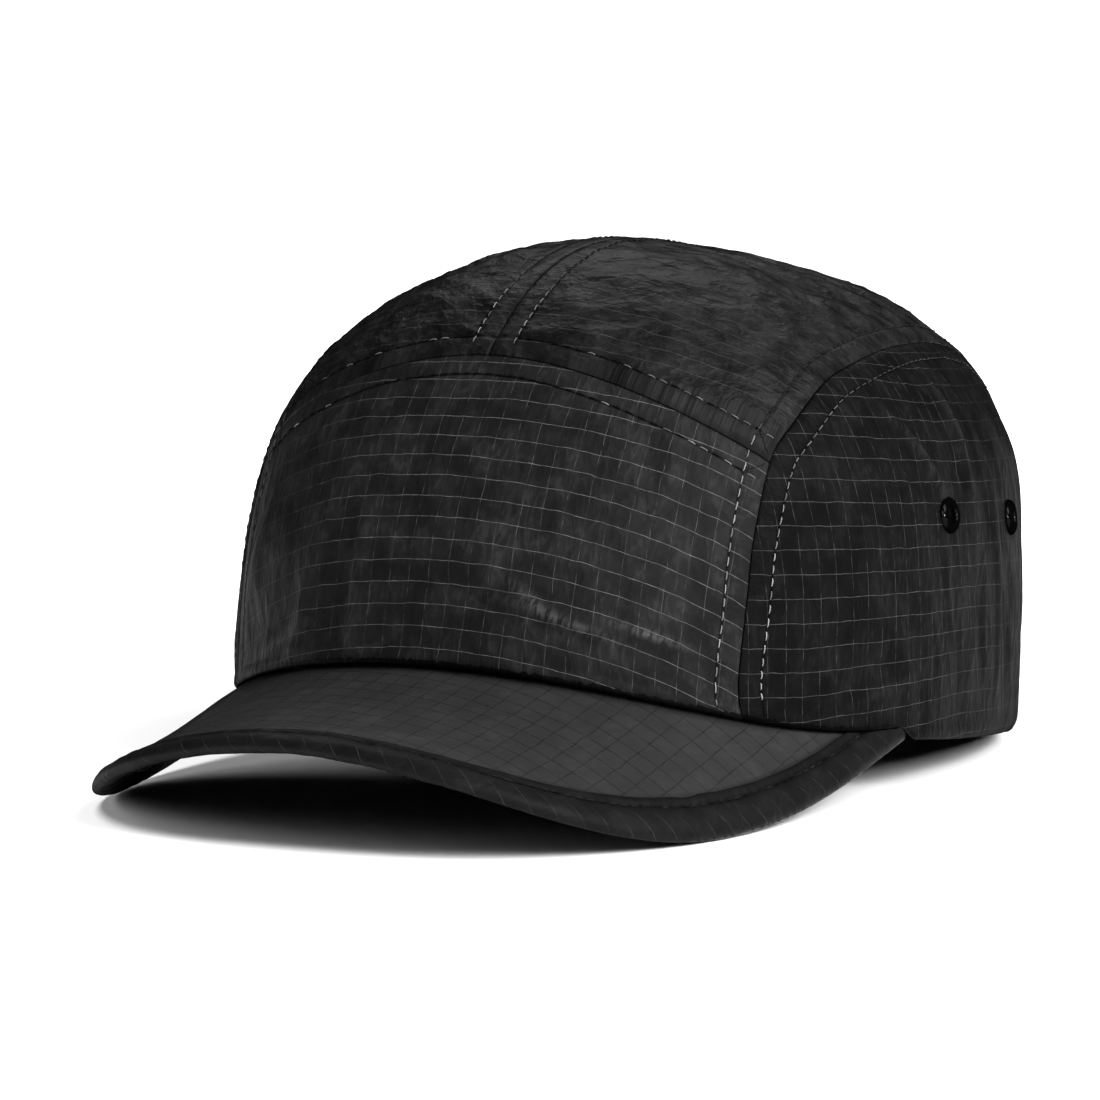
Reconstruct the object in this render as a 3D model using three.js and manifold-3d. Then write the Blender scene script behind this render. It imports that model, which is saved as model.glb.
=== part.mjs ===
// Running cap: a five-panel crown of thin ripstop cloth with a short, curved and bound peak.
// Millimetres. +Z is up, the front faces -Y and the wearer's left side is towards +X.
// The cap lies on a table as it does when it is put down: on the two corners of its peak and on the
// back of its hem. The origin is the centre of its footprint, on the table.
//
// The crown and the peak are worked out in the cap's own frame, where the sides of the hem are level
// and the wall stands upright, and restingPoint() then leans the whole cap back as it lies.

import * as THREE from 'three';
import { mergeVertices } from 'three/addons/utils/BufferGeometryUtils.js';
import Module from 'manifold-3d';

const wasm = await Module();
wasm.setup();

// Head opening and crown, seen from above and from the side
const crown = {
  halfWidth: 82.5,
  frontReach: 104.4,
  backReach: 101.5,
  height: 109.7,
  frontSquareness: 2.2,
  backSquareness: 2.1,
  topShift: -5.3,
};

// How the wall of each side turns into the top: across^dome + up^wall = 1.
// A large wall exponent stands upright for longer, and a small dome exponent rounds off sooner.
const profiles = {
  front: { dome: 2.38, wall: 2.08 },
  side: { dome: 1.585, wall: 4.37 },
  back: { dome: 1.53, wall: 7.48 },
};

const restTilt = THREE.MathUtils.degToRad(4.1);
const footprintShift = 27.9;

// Cloth
const clothThickness = 1.6;
const seamGap = 0.7;
const fitGap = 0.3;
const hemRoll = { height: 4.2, swell: 0.7 };
const hemOverPeak = 0.4;
const flatBelow = 0.6;

// Height of the hem above the table beside and behind the peak, by angle round the head from the front
const hemHeights = [
  { angle: 68, height: 12.0 },
  { angle: 78, height: 10.4 },
  { angle: 88, height: 8.6 },
  { angle: 101, height: 6.8 },
  { angle: 114, height: 5.0 },
  { angle: 128, height: 2.4 },
  { angle: 141, height: 0.0 },
  { angle: 180, height: 0.0 },
];

// Seam between the front panel and the top: its height at the middle and its fall towards the ends
const frontSeam = { height: 83.2, fall: 20.8, endAngle: 45.3 };

// Arched seam round each side panel, from the front of the hem over the ear to the back of the hem.
// A row with no height lies on the hem.
const archSeam = [
  { angle: 40.2, height: null },
  { angle: 39.6, height: 16 },
  { angle: 40.6, height: 32 },
  { angle: 42.0, height: 47 },
  { angle: 45.3, height: 62.4 },
  { angle: 49.5, height: 69.5 },
  { angle: 57.5, height: 77.9 },
  { angle: 66, height: 82.4 },
  { angle: 82, height: 86.3 },
  { angle: 102, height: 88.2 },
  { angle: 116, height: 88.4 },
  { angle: 128, height: 86.4 },
  { angle: 139, height: 80 },
  { angle: 146, height: 67 },
  { angle: 150, height: 48 },
  { angle: 151.5, height: 25 },
  { angle: 152, height: null },
];
const archFootEnd = 4;
const archBackStart = 12;

// Half-moon opening over the strap at the back
const backOpening = { topHeight: 50, footAngle: 161 };

// Broad soft folds of the wall: place, run (0 is upright, 90 along the hem), half length, half width, rise
const folds = [
  { angle: -17, height: 38, run: 6, halfLength: 34, halfWidth: 8, rise: 1.1 },
  { angle: 24, height: 24, run: 76, halfLength: 26, halfWidth: 5, rise: 0.8 },
  { angle: 8, height: 30, run: 84, halfLength: 22, halfWidth: 7, rise: -0.8 },
  { angle: 96, height: 62, run: -14, halfLength: 20, halfWidth: 7, rise: 0.9 },
  { angle: 118, height: 30, run: 4, halfLength: 30, halfWidth: 8, rise: 1.0 },
  { angle: -62, height: 40, run: -10, halfLength: 30, halfWidth: 8, rise: 1.0 },
  { angle: -105, height: 34, run: 6, halfLength: 30, halfWidth: 9, rise: -1.2 },
  { angle: 142, height: 34, run: -8, halfLength: 28, halfWidth: 9, rise: -1.2 },
];

// Peak: a sheet bent across the head, its outline, its binding
const peak = {
  halfWidth: 80,
  frontReach: 160.5,
  endReach: 17.3,
  tailReach: 31,
  squareness: 3,
  thickness: 3,
  rootHeight: 14.4,
  slope: 0.293,
  flattening: 4.9,
  bendRadius: 131,
  bendTightening: 0.112,
  droop: 8.6,
  droopAt: 80,
  rootInset: 2.8,
  tailInset: 12.5,
};
const binding = {
  width: 9,
  halfThickness: 1.75,
  wall: 0.95,
  tongueHalfThickness: 0.4,
  edgeGap: 1.3,
  bodyStart: 9.8,
};

// Eyelets on each side panel, and the back strap with its slide
const eyelets = [
  { name: 'front', angle: 84, height: 51 },
  { name: 'back', angle: 112, height: 49.5 },
];
const eyelet = { flangeRadius: 4.3, neckRadius: 2.5, holeRadius: 1.8, rise: 1.5, backRise: 0.8, sides: 14 };
const strap = { width: 20, thickness: 1.4, lift: 2.5, endAngle: 147, inset: 3.6 };
const slide = { halfLength: 8, bar: 3, depth: 5.4, clearance: 0.4 };

const degrees = THREE.MathUtils.degToRad;
const heart = new THREE.Vector3(0, -4, 40);

function reach(angle) {
  const side = Math.abs(Math.sin(angle)) / crown.halfWidth;
  const ahead = Math.cos(angle);
  const lengthways = Math.abs(ahead) / (ahead > 0 ? crown.frontReach : crown.backReach);
  const n = ahead > 0 ? crown.frontSquareness : crown.backSquareness;
  return (side ** n + lengthways ** n) ** (-1 / n);
}

function profile(angle) {
  const ahead = Math.cos(angle);
  const end = ahead > 0 ? profiles.front : profiles.back;
  const share = ahead * ahead;
  return {
    dome: end.dome * share + profiles.side.dome * (1 - share),
    wall: end.wall * share + profiles.side.wall * (1 - share),
  };
}

// A point of the crown by its angle round the head (0 at the front, 90 at the left ear) and its height
function crownPoint(angleDegrees, height) {
  const angle = degrees(angleDegrees);
  const up = Math.min(Math.max(height / crown.height, 0), 1);
  const { dome, wall } = profile(angle);
  const across = reach(angle) * (1 - up ** wall) ** (1 / dome);
  const y = -across * Math.cos(angle) + crown.topShift * up * up;
  return new THREE.Vector3(across * Math.sin(angle), y, height);
}

// Less than 1 inside the crown and more than 1 outside it
function crownLevel(p) {
  const up = Math.max(p.z / crown.height, 0);
  const y = p.y - crown.topShift * up * up;
  const angle = Math.atan2(p.x, -y);
  const { dome, wall } = profile(angle);
  return (Math.hypot(p.x, y) / reach(angle)) ** dome + up ** wall;
}

// Moves a point that is near the crown onto it, along the line from the heart of the cap
function ontoCrown(p) {
  const ray = p.clone().sub(heart);
  let inside = 0;
  let outside = 1.6;
  for (let step = 0; step < 40; step += 1) {
    const middle = (inside + outside) / 2;
    if (crownLevel(heart.clone().addScaledVector(ray, middle)) < 1) inside = middle;
    else outside = middle;
  }
  return heart.clone().addScaledVector(ray, inside);
}

function crownNormal(p) {
  const step = 0.5;
  const slope = (axis) => {
    const ahead = p.clone();
    const behind = p.clone();
    ahead[axis] += step;
    behind[axis] -= step;
    return crownLevel(ahead) - crownLevel(behind);
  };
  return new THREE.Vector3(slope('x'), slope('y'), slope('z')).normalize();
}

// How far the cloth stands out of the smooth crown, summed over the soft folds
function foldRise(p) {
  const around = THREE.MathUtils.radToDeg(Math.atan2(p.x, -p.y));
  return folds.reduce((sum, fold) => {
    const sideways = (degrees(around - fold.angle) * (crown.halfWidth + crown.frontReach)) / 2;
    const upward = p.z - fold.height;
    const run = degrees(fold.run);
    const along = sideways * Math.sin(run) + upward * Math.cos(run);
    const across = sideways * Math.cos(run) - upward * Math.sin(run);
    return sum + fold.rise * Math.exp(-((along / fold.halfLength) ** 2) - (across / fold.halfWidth) ** 2);
  }, 0);
}

// Leans a point of the cap's own frame back, as the cap lies on the table
function restingPoint(p) {
  const y = p.y - crown.backReach;
  const cos = Math.cos(restTilt);
  const sin = Math.sin(restTilt);
  return new THREE.Vector3(p.x, crown.backReach + y * cos + p.z * sin + footprintShift, p.z * cos - y * sin);
}

// The height in the cap's own frame of a point that stands at a height above the table
function ownHeight(tableHeight, y) {
  return (tableHeight + (y - crown.backReach) * Math.sin(restTilt)) / Math.cos(restTilt);
}

function smoothly(low, high, x) {
  return THREE.MathUtils.smoothstep(x, low, high);
}

// Middle surface of the peak: falling towards its front, bent down at both sides
function peakMiddle(x, y) {
  const ahead = Math.max(-y - crown.frontReach, -60);
  const length = peak.frontReach - crown.frontReach;
  const radius = peak.bendRadius - peak.bendTightening * ahead;
  const bend = radius - Math.sqrt(radius * radius - x * x);
  const droop = peak.droop * (x / peak.droopAt) ** 4;
  const lift = peak.flattening * (Math.max(ahead, 0) / length) ** 2;
  const z = peak.rootHeight + peak.slope * (y + crown.frontReach) + lift - bend - droop;
  return new THREE.Vector3(x, y, z);
}

function peakNormal(x, y) {
  const step = 0.5;
  const alongX = peakMiddle(x + step, y).sub(peakMiddle(x - step, y));
  const alongY = peakMiddle(x, y + step).sub(peakMiddle(x, y - step));
  return alongX.cross(alongY).normalize();
}

function tableLookup(rows, angle) {
  const last = rows.findIndex((row) => row.angle >= angle);
  if (last <= 0) return rows[last === 0 ? 0 : rows.length - 1].height;
  const share = (angle - rows[last - 1].angle) / (rows[last].angle - rows[last - 1].angle);
  return THREE.MathUtils.lerp(rows[last - 1].height, rows[last].height, share);
}

// Lowest height of the cloth of the hem where it stands over the peak
function heightOverPeak(p) {
  return peakMiddle(p.x, p.y).z + binding.halfThickness / peakNormal(p.x, p.y).z + hemOverPeak;
}

// Lower edge of the crown: over the peak it clears the peak's top, and behind it follows hemHeights.
// The wall leans, so the height is worked out again from where the wall stands at that height.
function hemPoint(angle) {
  const fromFront = Math.abs(angle);
  let foot = crownPoint(angle, 0);
  for (let pass = 0; pass < 3; pass += 1) {
    const free = ownHeight(tableLookup(hemHeights, fromFront), foot.y);
    const onPeak = Math.max(heightOverPeak(foot), free);
    foot = crownPoint(angle, THREE.MathUtils.lerp(onPeak, free, smoothly(69, 74, fromFront)));
  }
  return foot;
}

// The peak slopes, so the inside of the hem is lifted further than its outside to clear it
function innerLift(p) {
  const lift = Math.max(heightOverPeak(p) - p.z, 0);
  return lift * (1 - smoothly(3 - peak.tailReach, 9 - peak.tailReach, p.y));
}

// Points at equal distances along a line of points
function evenly(points, count) {
  const lengths = [0];
  for (let i = 1; i < points.length; i += 1) lengths.push(lengths[i - 1] + points[i].distanceTo(points[i - 1]));
  const total = lengths[points.length - 1];
  return (share) => {
    const at = share * total;
    let i = lengths.findIndex((length) => length >= at);
    if (i <= 0) i = share > 0.5 ? points.length - 1 : 1;
    const part = (at - lengths[i - 1]) / (lengths[i] - lengths[i - 1]);
    return points[i - 1].clone().lerp(points[i], Math.min(Math.max(part, 0), 1));
  };
}

function range(count, make) {
  return Array.from({ length: count }, (_, i) => make(i));
}

const lineSteps = 120;

function hemLine(from, to) {
  return range(lineSteps + 1, (i) => hemPoint(THREE.MathUtils.lerp(from, to, i / lineSteps)));
}

function frontSeamLine(from, to) {
  return range(lineSteps + 1, (i) => {
    const angle = THREE.MathUtils.lerp(from, to, i / lineSteps);
    return crownPoint(angle, frontSeam.height - frontSeam.fall * (angle / frontSeam.endAngle) ** 2);
  });
}

// The arched seam as three stretches: up from the front of the hem, over the ear, and down at the back
const archCurve = new THREE.SplineCurve(archSeam.map(({ angle, height }) => (
  new THREE.Vector2(angle, height ?? hemPoint(angle).z))));

function archLine(fromRow, toRow) {
  const rows = archSeam.length - 1;
  return range(lineSteps + 1, (i) => {
    const at = archCurve.getPoint(THREE.MathUtils.lerp(fromRow, toRow, i / lineSteps) / rows);
    return crownPoint(at.x, at.y);
  });
}

// Middle seam over the top
function middleLine() {
  const start = crownPoint(0, frontSeam.height).sub(heart);
  const end = crownPoint(180, backOpening.topHeight).sub(heart);
  const from = Math.atan2(start.z, start.y);
  const to = Math.atan2(end.z, end.y);
  return range(lineSteps + 1, (i) => {
    const angle = THREE.MathUtils.lerp(from, to, i / lineSteps);
    return ontoCrown(heart.clone().add(new THREE.Vector3(0, Math.cos(angle), Math.sin(angle)).multiplyScalar(60)));
  });
}

// Edge of the opening at the back, from its top down to the hem and along the hem to the arched seam
function openingLine() {
  const { footAngle, topHeight } = backOpening;
  const foot = hemPoint(footAngle);
  const arch = range(lineSteps, (i) => {
    const turn = (Math.PI / 2) * (i / lineSteps);
    const height = THREE.MathUtils.lerp(foot.z, topHeight, Math.cos(turn));
    return crownPoint(180 - (180 - footAngle) * Math.sin(turn), height);
  });
  return [...arch, ...hemLine(footAngle, archSeam[archSeam.length - 1].angle)];
}

// A grid of points between four edges: each point blends the two pairs of edges and lies on the crown
function panelGrid(edges, columns, rowShares) {
  const bottom = evenly(edges.bottom);
  const top = evenly(edges.top);
  const left = evenly(edges.left);
  const right = evenly(edges.right);
  return rowShares.map((v) => range(columns + 1, (i) => {
    const u = i / columns;
    const point = new THREE.Vector3()
      .addScaledVector(bottom(u), 1 - v)
      .addScaledVector(top(u), v)
      .addScaledVector(left(v), 1 - u)
      .addScaledVector(right(v), u)
      .addScaledVector(bottom(0), -(1 - u) * (1 - v))
      .addScaledVector(bottom(1), -u * (1 - v))
      .addScaledVector(top(0), -(1 - u) * v)
      .addScaledVector(top(1), -u * v);
    return ontoCrown(point);
  }));
}

// Draws the seamed edges of a grid in by half the seam gap, towards the nearest point inside the grid
function drawIn(grid, bottomIsSeam) {
  const lastRow = grid.length - 1;
  const lastColumn = grid[0].length - 1;
  const lowest = bottomIsSeam ? 1 : 0;
  return grid.map((row, j) => row.map((point, i) => {
    const nextRow = THREE.MathUtils.clamp(j, lowest, lastRow - 1);
    const nextColumn = THREE.MathUtils.clamp(i, 1, lastColumn - 1);
    if (nextRow === j && nextColumn === i) return point;
    const isCorner = nextRow !== j && nextColumn !== i;
    const step = grid[nextRow][nextColumn].clone().sub(point);
    return point.clone().add(step.setLength((seamGap / 2) * (isCorner ? Math.SQRT2 : 1)));
  }));
}

// Closes two grids of equal size, one over the other, into one solid
function shellGeometry(outer, inner) {
  const rows = outer.length;
  const columns = outer[0].length;
  const positions = [...outer.flat(), ...inner.flat()].flatMap((p) => [p.x, p.y, p.z]);
  const out = (j, i) => j * columns + i;
  const into = (j, i) => rows * columns + j * columns + i;
  const faces = [];
  const quad = (a, b, c, d) => faces.push(a, b, c, a, c, d);
  for (let j = 0; j < rows - 1; j += 1) {
    for (let i = 0; i < columns - 1; i += 1) {
      quad(out(j, i), out(j, i + 1), out(j + 1, i + 1), out(j + 1, i));
      quad(into(j, i), into(j + 1, i), into(j + 1, i + 1), into(j, i + 1));
    }
    quad(out(j, 0), out(j + 1, 0), into(j + 1, 0), into(j, 0));
    quad(out(j + 1, columns - 1), out(j, columns - 1), into(j, columns - 1), into(j + 1, columns - 1));
  }
  for (let i = 0; i < columns - 1; i += 1) {
    quad(out(0, i + 1), out(0, i), into(0, i), into(0, i + 1));
    quad(out(rows - 1, i), out(rows - 1, i + 1), into(rows - 1, i + 1), into(rows - 1, i));
  }
  return indexedGeometry(positions, faces);
}

function indexedGeometry(positions, faces) {
  const geometry = new THREE.BufferGeometry();
  geometry.setAttribute('position', new THREE.Float32BufferAttribute(positions, 3));
  geometry.setIndex(faces);
  return geometry;
}

// The hem is turned up inside and rolls outwards: extra thickness by height over the hem
function rollSwell(height) {
  if (height > hemRoll.height) return 0;
  const share = height / hemRoll.height;
  return hemRoll.swell * Math.sin(Math.PI * Math.min(0.2 + 0.8 * share, 1));
}

// A crown panel as a solid of cloth. hasHem says that its lower edge is the rolled hem, where the
// thickness is measured level, so that the hem ends in a flat edge.
function panelGeometry(grid, hasHem) {
  const sides = (p, overHem) => {
    const freely = smoothly(0, 3 * hemRoll.height, overHem);
    const normal = crownNormal(p);
    normal.z *= freely;
    normal.normalize();
    const rise = foldRise(p) * freely;
    const swell = rollSwell(overHem);
    const outer = p.clone().addScaledVector(normal, rise + swell);
    const inner = p.clone().addScaledVector(normal, rise - clothThickness - swell);
    return { outer, inner, freely };
  };
  const lifts = grid[0].map((p) => (hasHem ? innerLift(sides(p, 0).inner) : 0));
  const cloth = grid.map((row) => row.map((p, i) => {
    const { outer, inner, freely } = sides(p, hasHem ? p.distanceTo(grid[0][i]) : Infinity);
    inner.z += lifts[i] * (1 - freely);
    return { outer: restingPoint(outer), inner: restingPoint(inner) };
  }));
  for (const { outer, inner } of cloth.flat()) {
    if (outer.z < flatBelow) {
      outer.z = 0;
      inner.z = 0;
    }
  }
  return shellGeometry(cloth.map((row) => row.map((p) => p.outer)), cloth.map((row) => row.map((p) => p.inner)));
}

function evenRows(count) {
  return range(count + 1, (i) => i / count);
}

// Row places from a few heights over the hem, then even steps to the top of the panel
function hemRows(panelHeight, count) {
  const low = [0, 0.3, 0.7, 1.05].map((share) => (share * hemRoll.height) / panelHeight);
  const start = low[low.length - 1];
  return [...low, ...range(count, (i) => start + ((1 - start) * (i + 1)) / count)];
}

function mirrored(geometry) {
  const copy = geometry.clone();
  copy.scale(-1, 1, 1);
  const index = Array.from(copy.getIndex().array);
  const turned = index.map((_, i) => index[i - (i % 3) + [0, 2, 1][i % 3]]);
  copy.setIndex(turned);
  return copy;
}

const clothMaterial = new THREE.MeshStandardMaterial({ color: 0x1d1d1f, roughness: 0.72, metalness: 0 });
const trimMaterial = new THREE.MeshStandardMaterial({ color: 0x070708, roughness: 0.18, metalness: 0.1 });
const webbingMaterial = new THREE.MeshStandardMaterial({ color: 0x141415, roughness: 0.8, metalness: 0 });

const cap = new THREE.Group();

function addPiece(name, geometry, material) {
  const mesh = new THREE.Mesh(geometry, material.clone());
  mesh.name = name;
  cap.add(mesh);
  return mesh;
}

function solidOf(geometry) {
  const bare = geometry.clone();
  for (const name of Object.keys(bare.attributes)) {
    if (name !== 'position') bare.deleteAttribute(name);
  }
  const merged = mergeVertices(bare, 1e-4);
  const mesh = new wasm.Mesh({
    numProp: 3,
    vertProperties: new Float32Array(merged.getAttribute('position').array),
    triVerts: new Uint32Array(merged.getIndex().array),
  });
  return new wasm.Manifold(mesh);
}

function geometryOf(solid) {
  const mesh = solid.getMesh();
  return indexedGeometry(Array.from(mesh.vertProperties), Array.from(mesh.triVerts));
}

function frontPanel() {
  const end = archSeam[0].angle;
  const rightSeam = archLine(0, archFootEnd);
  const edges = {
    bottom: hemLine(-end, end),
    top: frontSeamLine(-frontSeam.endAngle, frontSeam.endAngle),
    left: rightSeam.map((p) => new THREE.Vector3(-p.x, p.y, p.z)),
    right: rightSeam,
  };
  return panelGeometry(drawIn(panelGrid(edges, 16, hemRows(62, 7)), false), true);
}

function sidePanel() {
  const rows = archSeam.length - 1;
  const edges = {
    bottom: hemLine(archSeam[0].angle, archSeam[rows].angle),
    top: archLine(archFootEnd, archBackStart),
    left: archLine(0, archFootEnd),
    right: archLine(archBackStart, rows).reverse(),
  };
  return panelGeometry(drawIn(panelGrid(edges, 18, hemRows(74, 9)), false), true);
}

function topPanel() {
  const rows = archSeam.length - 1;
  const edges = {
    bottom: archLine(archFootEnd, rows),
    top: middleLine(),
    left: frontSeamLine(frontSeam.endAngle, 0),
    right: openingLine().reverse(),
  };
  return panelGeometry(drawIn(panelGrid(edges, 18, evenRows(8)), true), false);
}

// Frame of an eyelet in the wall: its place and the direction that it faces
function eyeletFrame(side, row) {
  const p = crownPoint(row.angle, row.height);
  const normal = crownNormal(p);
  const rise = foldRise(new THREE.Vector3(side * p.x, p.y, p.z));
  const outer = restingPoint(p.clone().addScaledVector(normal, rise));
  const inner = restingPoint(p.clone().addScaledVector(normal, rise - clothThickness));
  const mirror = new THREE.Vector3(side, 1, 1);
  outer.multiply(mirror);
  inner.multiply(mirror);
  return { outer, facing: outer.clone().sub(inner).normalize() };
}

function turnedTo(geometry, frame) {
  const turn = new THREE.Quaternion().setFromUnitVectors(new THREE.Vector3(0, 1, 0), frame.facing);
  geometry.applyQuaternion(turn);
  geometry.translate(frame.outer.x, frame.outer.y, frame.outer.z);
  return geometry;
}

// A pressed eyelet: a domed flange outside, a neck through the cloth and a flat flange inside
function eyeletGeometry() {
  const outside = fitGap + 0.25;
  const inside = -clothThickness - fitGap - 0.25;
  const rim = [
    [eyelet.holeRadius, inside - eyelet.backRise],
    [eyelet.flangeRadius, inside - eyelet.backRise],
    [eyelet.flangeRadius, inside],
    [eyelet.neckRadius, inside],
    [eyelet.neckRadius, outside],
    [eyelet.flangeRadius, outside],
    [eyelet.flangeRadius - 0.4, outside + eyelet.rise * 0.55],
    [eyelet.flangeRadius - 1.4, outside + eyelet.rise],
    [eyelet.holeRadius, outside + eyelet.rise * 0.6],
    [eyelet.holeRadius, inside - eyelet.backRise],
  ];
  return new THREE.LatheGeometry(rim.map(([r, y]) => new THREE.Vector2(r, y)), eyelet.sides);
}

// Cuts the holes that the necks of the eyelets pass through
function withEyeletHoles(panel, side) {
  let solid = solidOf(panel);
  for (const row of eyelets) {
    const punch = new THREE.CylinderGeometry(eyelet.neckRadius + fitGap, eyelet.neckRadius + fitGap, 12, eyelet.sides);
    solid = solid.subtract(solidOf(turnedTo(punch, eyeletFrame(side, row))));
  }
  return geometryOf(solid);
}

// Outline of the peak from its right end round the front to its left end, cut off at the tails
function rimPoint(share) {
  const depth = peak.frontReach - peak.endReach;
  const tail = ((peak.tailReach - peak.endReach) / depth) ** (peak.squareness / 2);
  const turn = (1 - 2 * share) * Math.acos(tail);
  const x = -peak.halfWidth * Math.sign(Math.sin(turn)) * Math.abs(Math.sin(turn)) ** (2 / peak.squareness);
  return new THREE.Vector2(x, -peak.endReach - depth * Math.cos(turn) ** (2 / peak.squareness));
}

// The same outline at equal distances, each place with the direction in towards the head
function rimPlaces(count) {
  const fine = range(801, (i) => rimPoint(i / 800)).map((p) => new THREE.Vector3(p.x, p.y, 0));
  const at = evenly(fine);
  return range(count + 1, (i) => {
    const share = i / count;
    const tangent = at(Math.min(share + 0.002, 1)).sub(at(Math.max(share - 0.002, 0))).normalize();
    return { place: at(share), inward: new THREE.Vector3(-tangent.y, tangent.x, 0) };
  });
}

function peakPoint(place, inward, distance, offset) {
  const flat = place.clone().addScaledVector(inward, distance);
  const normal = peakNormal(flat.x, flat.y);
  return peakMiddle(flat.x, flat.y).addScaledVector(normal, offset);
}

// Inner edge of the peak, under the crown's wall in front and tucked further in at the tails
function rootPlace(share) {
  const angle = THREE.MathUtils.lerp(-68, 68, share);
  const out = crownPoint(angle, 0);
  const inset = THREE.MathUtils.lerp(peak.rootInset, peak.tailInset, smoothly(46, 66, Math.abs(angle)));
  const distance = Math.hypot(out.x, out.y);
  return out.multiplyScalar((distance - inset) / distance).setZ(0);
}

const peakColumns = 34;

function peakGeometry() {
  const tongue = [
    { distance: binding.edgeGap, half: binding.tongueHalfThickness },
    { distance: binding.width + 0.35, half: binding.tongueHalfThickness },
    { distance: binding.bodyStart, half: peak.thickness / 2 },
  ];
  const bodyRows = 5;
  const columns = rimPlaces(peakColumns).map(({ place, inward }, i) => {
    const edge = tongue.map((row) => ({ flat: place.clone().addScaledVector(inward, row.distance), half: row.half }));
    const start = edge[edge.length - 1].flat;
    const root = rootPlace(i / peakColumns);
    const body = range(bodyRows, (k) => ({ flat: start.clone().lerp(root, (k + 1) / bodyRows), half: peak.thickness / 2 }));
    return [...edge, ...body];
  });
  const surface = (side) => columns[0].map((_, j) => columns.map((column) => {
    const { flat, half } = column[j];
    return restingPoint(peakMiddle(flat.x, flat.y).addScaledVector(peakNormal(flat.x, flat.y), side * half));
  }));
  return shellGeometry(surface(1), surface(-1));
}

// A strip folded round the rim of the peak, as a U-shaped section carried along the outline
function bindingGeometry() {
  const { width, halfThickness: half, wall } = binding;
  const section = [
    [width, half], [1.2, half], [0.3, half * 0.65], [0, 0], [0.3, -half * 0.65], [1.2, -half],
    [width, -half], [width, -half + wall], [wall, -half + wall], [wall, half - wall], [width, half - wall],
  ];
  const rings = rimPlaces(peakColumns).map(({ place, inward }) => section.map(([distance, offset]) => (
    restingPoint(peakPoint(place, inward, distance, offset)))));
  return ringsGeometry(rings, [[0, 1, 9, 10], [1, 2, 9], [2, 3, 9], [3, 8, 9], [3, 4, 8], [4, 5, 8], [5, 6, 7, 8]]);
}

// Joins equal rings of points into a closed bar. endFaces splits the end into convex faces.
function ringsGeometry(rings, endFaces) {
  const size = rings[0].length;
  const positions = rings.flat().flatMap((p) => [p.x, p.y, p.z]);
  const faces = [];
  for (let j = 0; j < rings.length - 1; j += 1) {
    for (let i = 0; i < size; i += 1) {
      const a = j * size + i;
      const b = j * size + ((i + 1) % size);
      faces.push(a, b, b + size, a, b + size, a + size);
    }
  }
  const last = (rings.length - 1) * size;
  for (const face of endFaces) {
    for (let i = 1; i < face.length - 1; i += 1) {
      faces.push(face[0], face[i + 1], face[i]);
      faces.push(last + face[0], last + face[i], last + face[i + 1]);
    }
  }
  return indexedGeometry(positions, faces);
}

// Places along the inside of the back hem that the strap follows, with the direction out of the head
function strapPlace(angle) {
  const out = crownPoint(angle, 0);
  const ahead = crownPoint(angle + 0.5, 0).sub(crownPoint(angle - 0.5, 0)).normalize();
  const facing = new THREE.Vector3(ahead.y, -ahead.x, 0);
  if (facing.dot(out) < 0) facing.negate();
  return { place: out.addScaledVector(facing, -strap.inset), facing };
}

function strapRing(angle, halfThickness, low, high) {
  const { place, facing } = strapPlace(angle);
  const corner = (offset, height) => {
    const p = place.clone().addScaledVector(facing, offset);
    p.z = ownHeight(height, p.y);
    return restingPoint(p);
  };
  return [
    corner(-halfThickness, low), corner(-halfThickness, high),
    corner(halfThickness, high), corner(halfThickness, low),
  ];
}

function strapGeometry() {
  const rings = range(13, (i) => strapRing(THREE.MathUtils.lerp(strap.endAngle, 360 - strap.endAngle, i / 12),
    strap.thickness / 2, strap.lift, strap.lift + strap.width));
  return ringsGeometry(rings, [[0, 1, 2, 3]]);
}

// A plain flat slide on the strap: a bar with a slot that the strap passes through
function slideGeometry() {
  const { place } = strapPlace(180);
  const height = strap.lift + strap.width / 2;
  const centre = restingPoint(new THREE.Vector3(0, place.y, ownHeight(height, place.y)));
  const high = strap.width + 2 * (slide.bar * 0.5 + slide.clearance);
  const outer = new THREE.BoxGeometry(2 * slide.halfLength, slide.depth, high);
  const slot = new THREE.BoxGeometry(2 * slide.halfLength + 2, strap.thickness + 2.2, strap.width + 2 * slide.clearance);
  const ring = geometryOf(solidOf(outer).subtract(solidOf(slot)));
  return ring.rotateX(-restTilt).translate(centre.x, centre.y, centre.z);
}

function build() {
  addPiece('front_panel', frontPanel(), clothMaterial);
  const side = sidePanel();
  const top = topPanel();
  addPiece('side_panel_left', withEyeletHoles(side, 1), clothMaterial);
  addPiece('side_panel_right', withEyeletHoles(mirrored(side), -1), clothMaterial);
  addPiece('top_panel_left', top, clothMaterial);
  addPiece('top_panel_right', mirrored(top), clothMaterial);
  addPiece('peak', peakGeometry(), clothMaterial);
  addPiece('peak_binding', bindingGeometry(), clothMaterial);
  for (const [name, sideSign] of [['left', 1], ['right', -1]]) {
    for (const row of eyelets) {
      addPiece(`eyelet_${name}_${row.name}`, turnedTo(eyeletGeometry(), eyeletFrame(sideSign, row)), trimMaterial);
    }
  }
  addPiece('back_strap', strapGeometry(), webbingMaterial);
  addPiece('strap_slide', slideGeometry(), trimMaterial);
}

build();

export default cap;
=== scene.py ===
# %% [markdown]
# # A running cap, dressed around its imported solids
# The real object is a light running cap: five panels of thin ripstop nylon, a short stiff peak with a
# bound edge, four pressed eyelets, and a strap across the opening at the back.
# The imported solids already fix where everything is. Each step below makes one piece as a surface worked
# out with numpy, puts it in the place of its solid, and gives it a material made of nodes.

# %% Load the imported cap
import math

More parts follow.
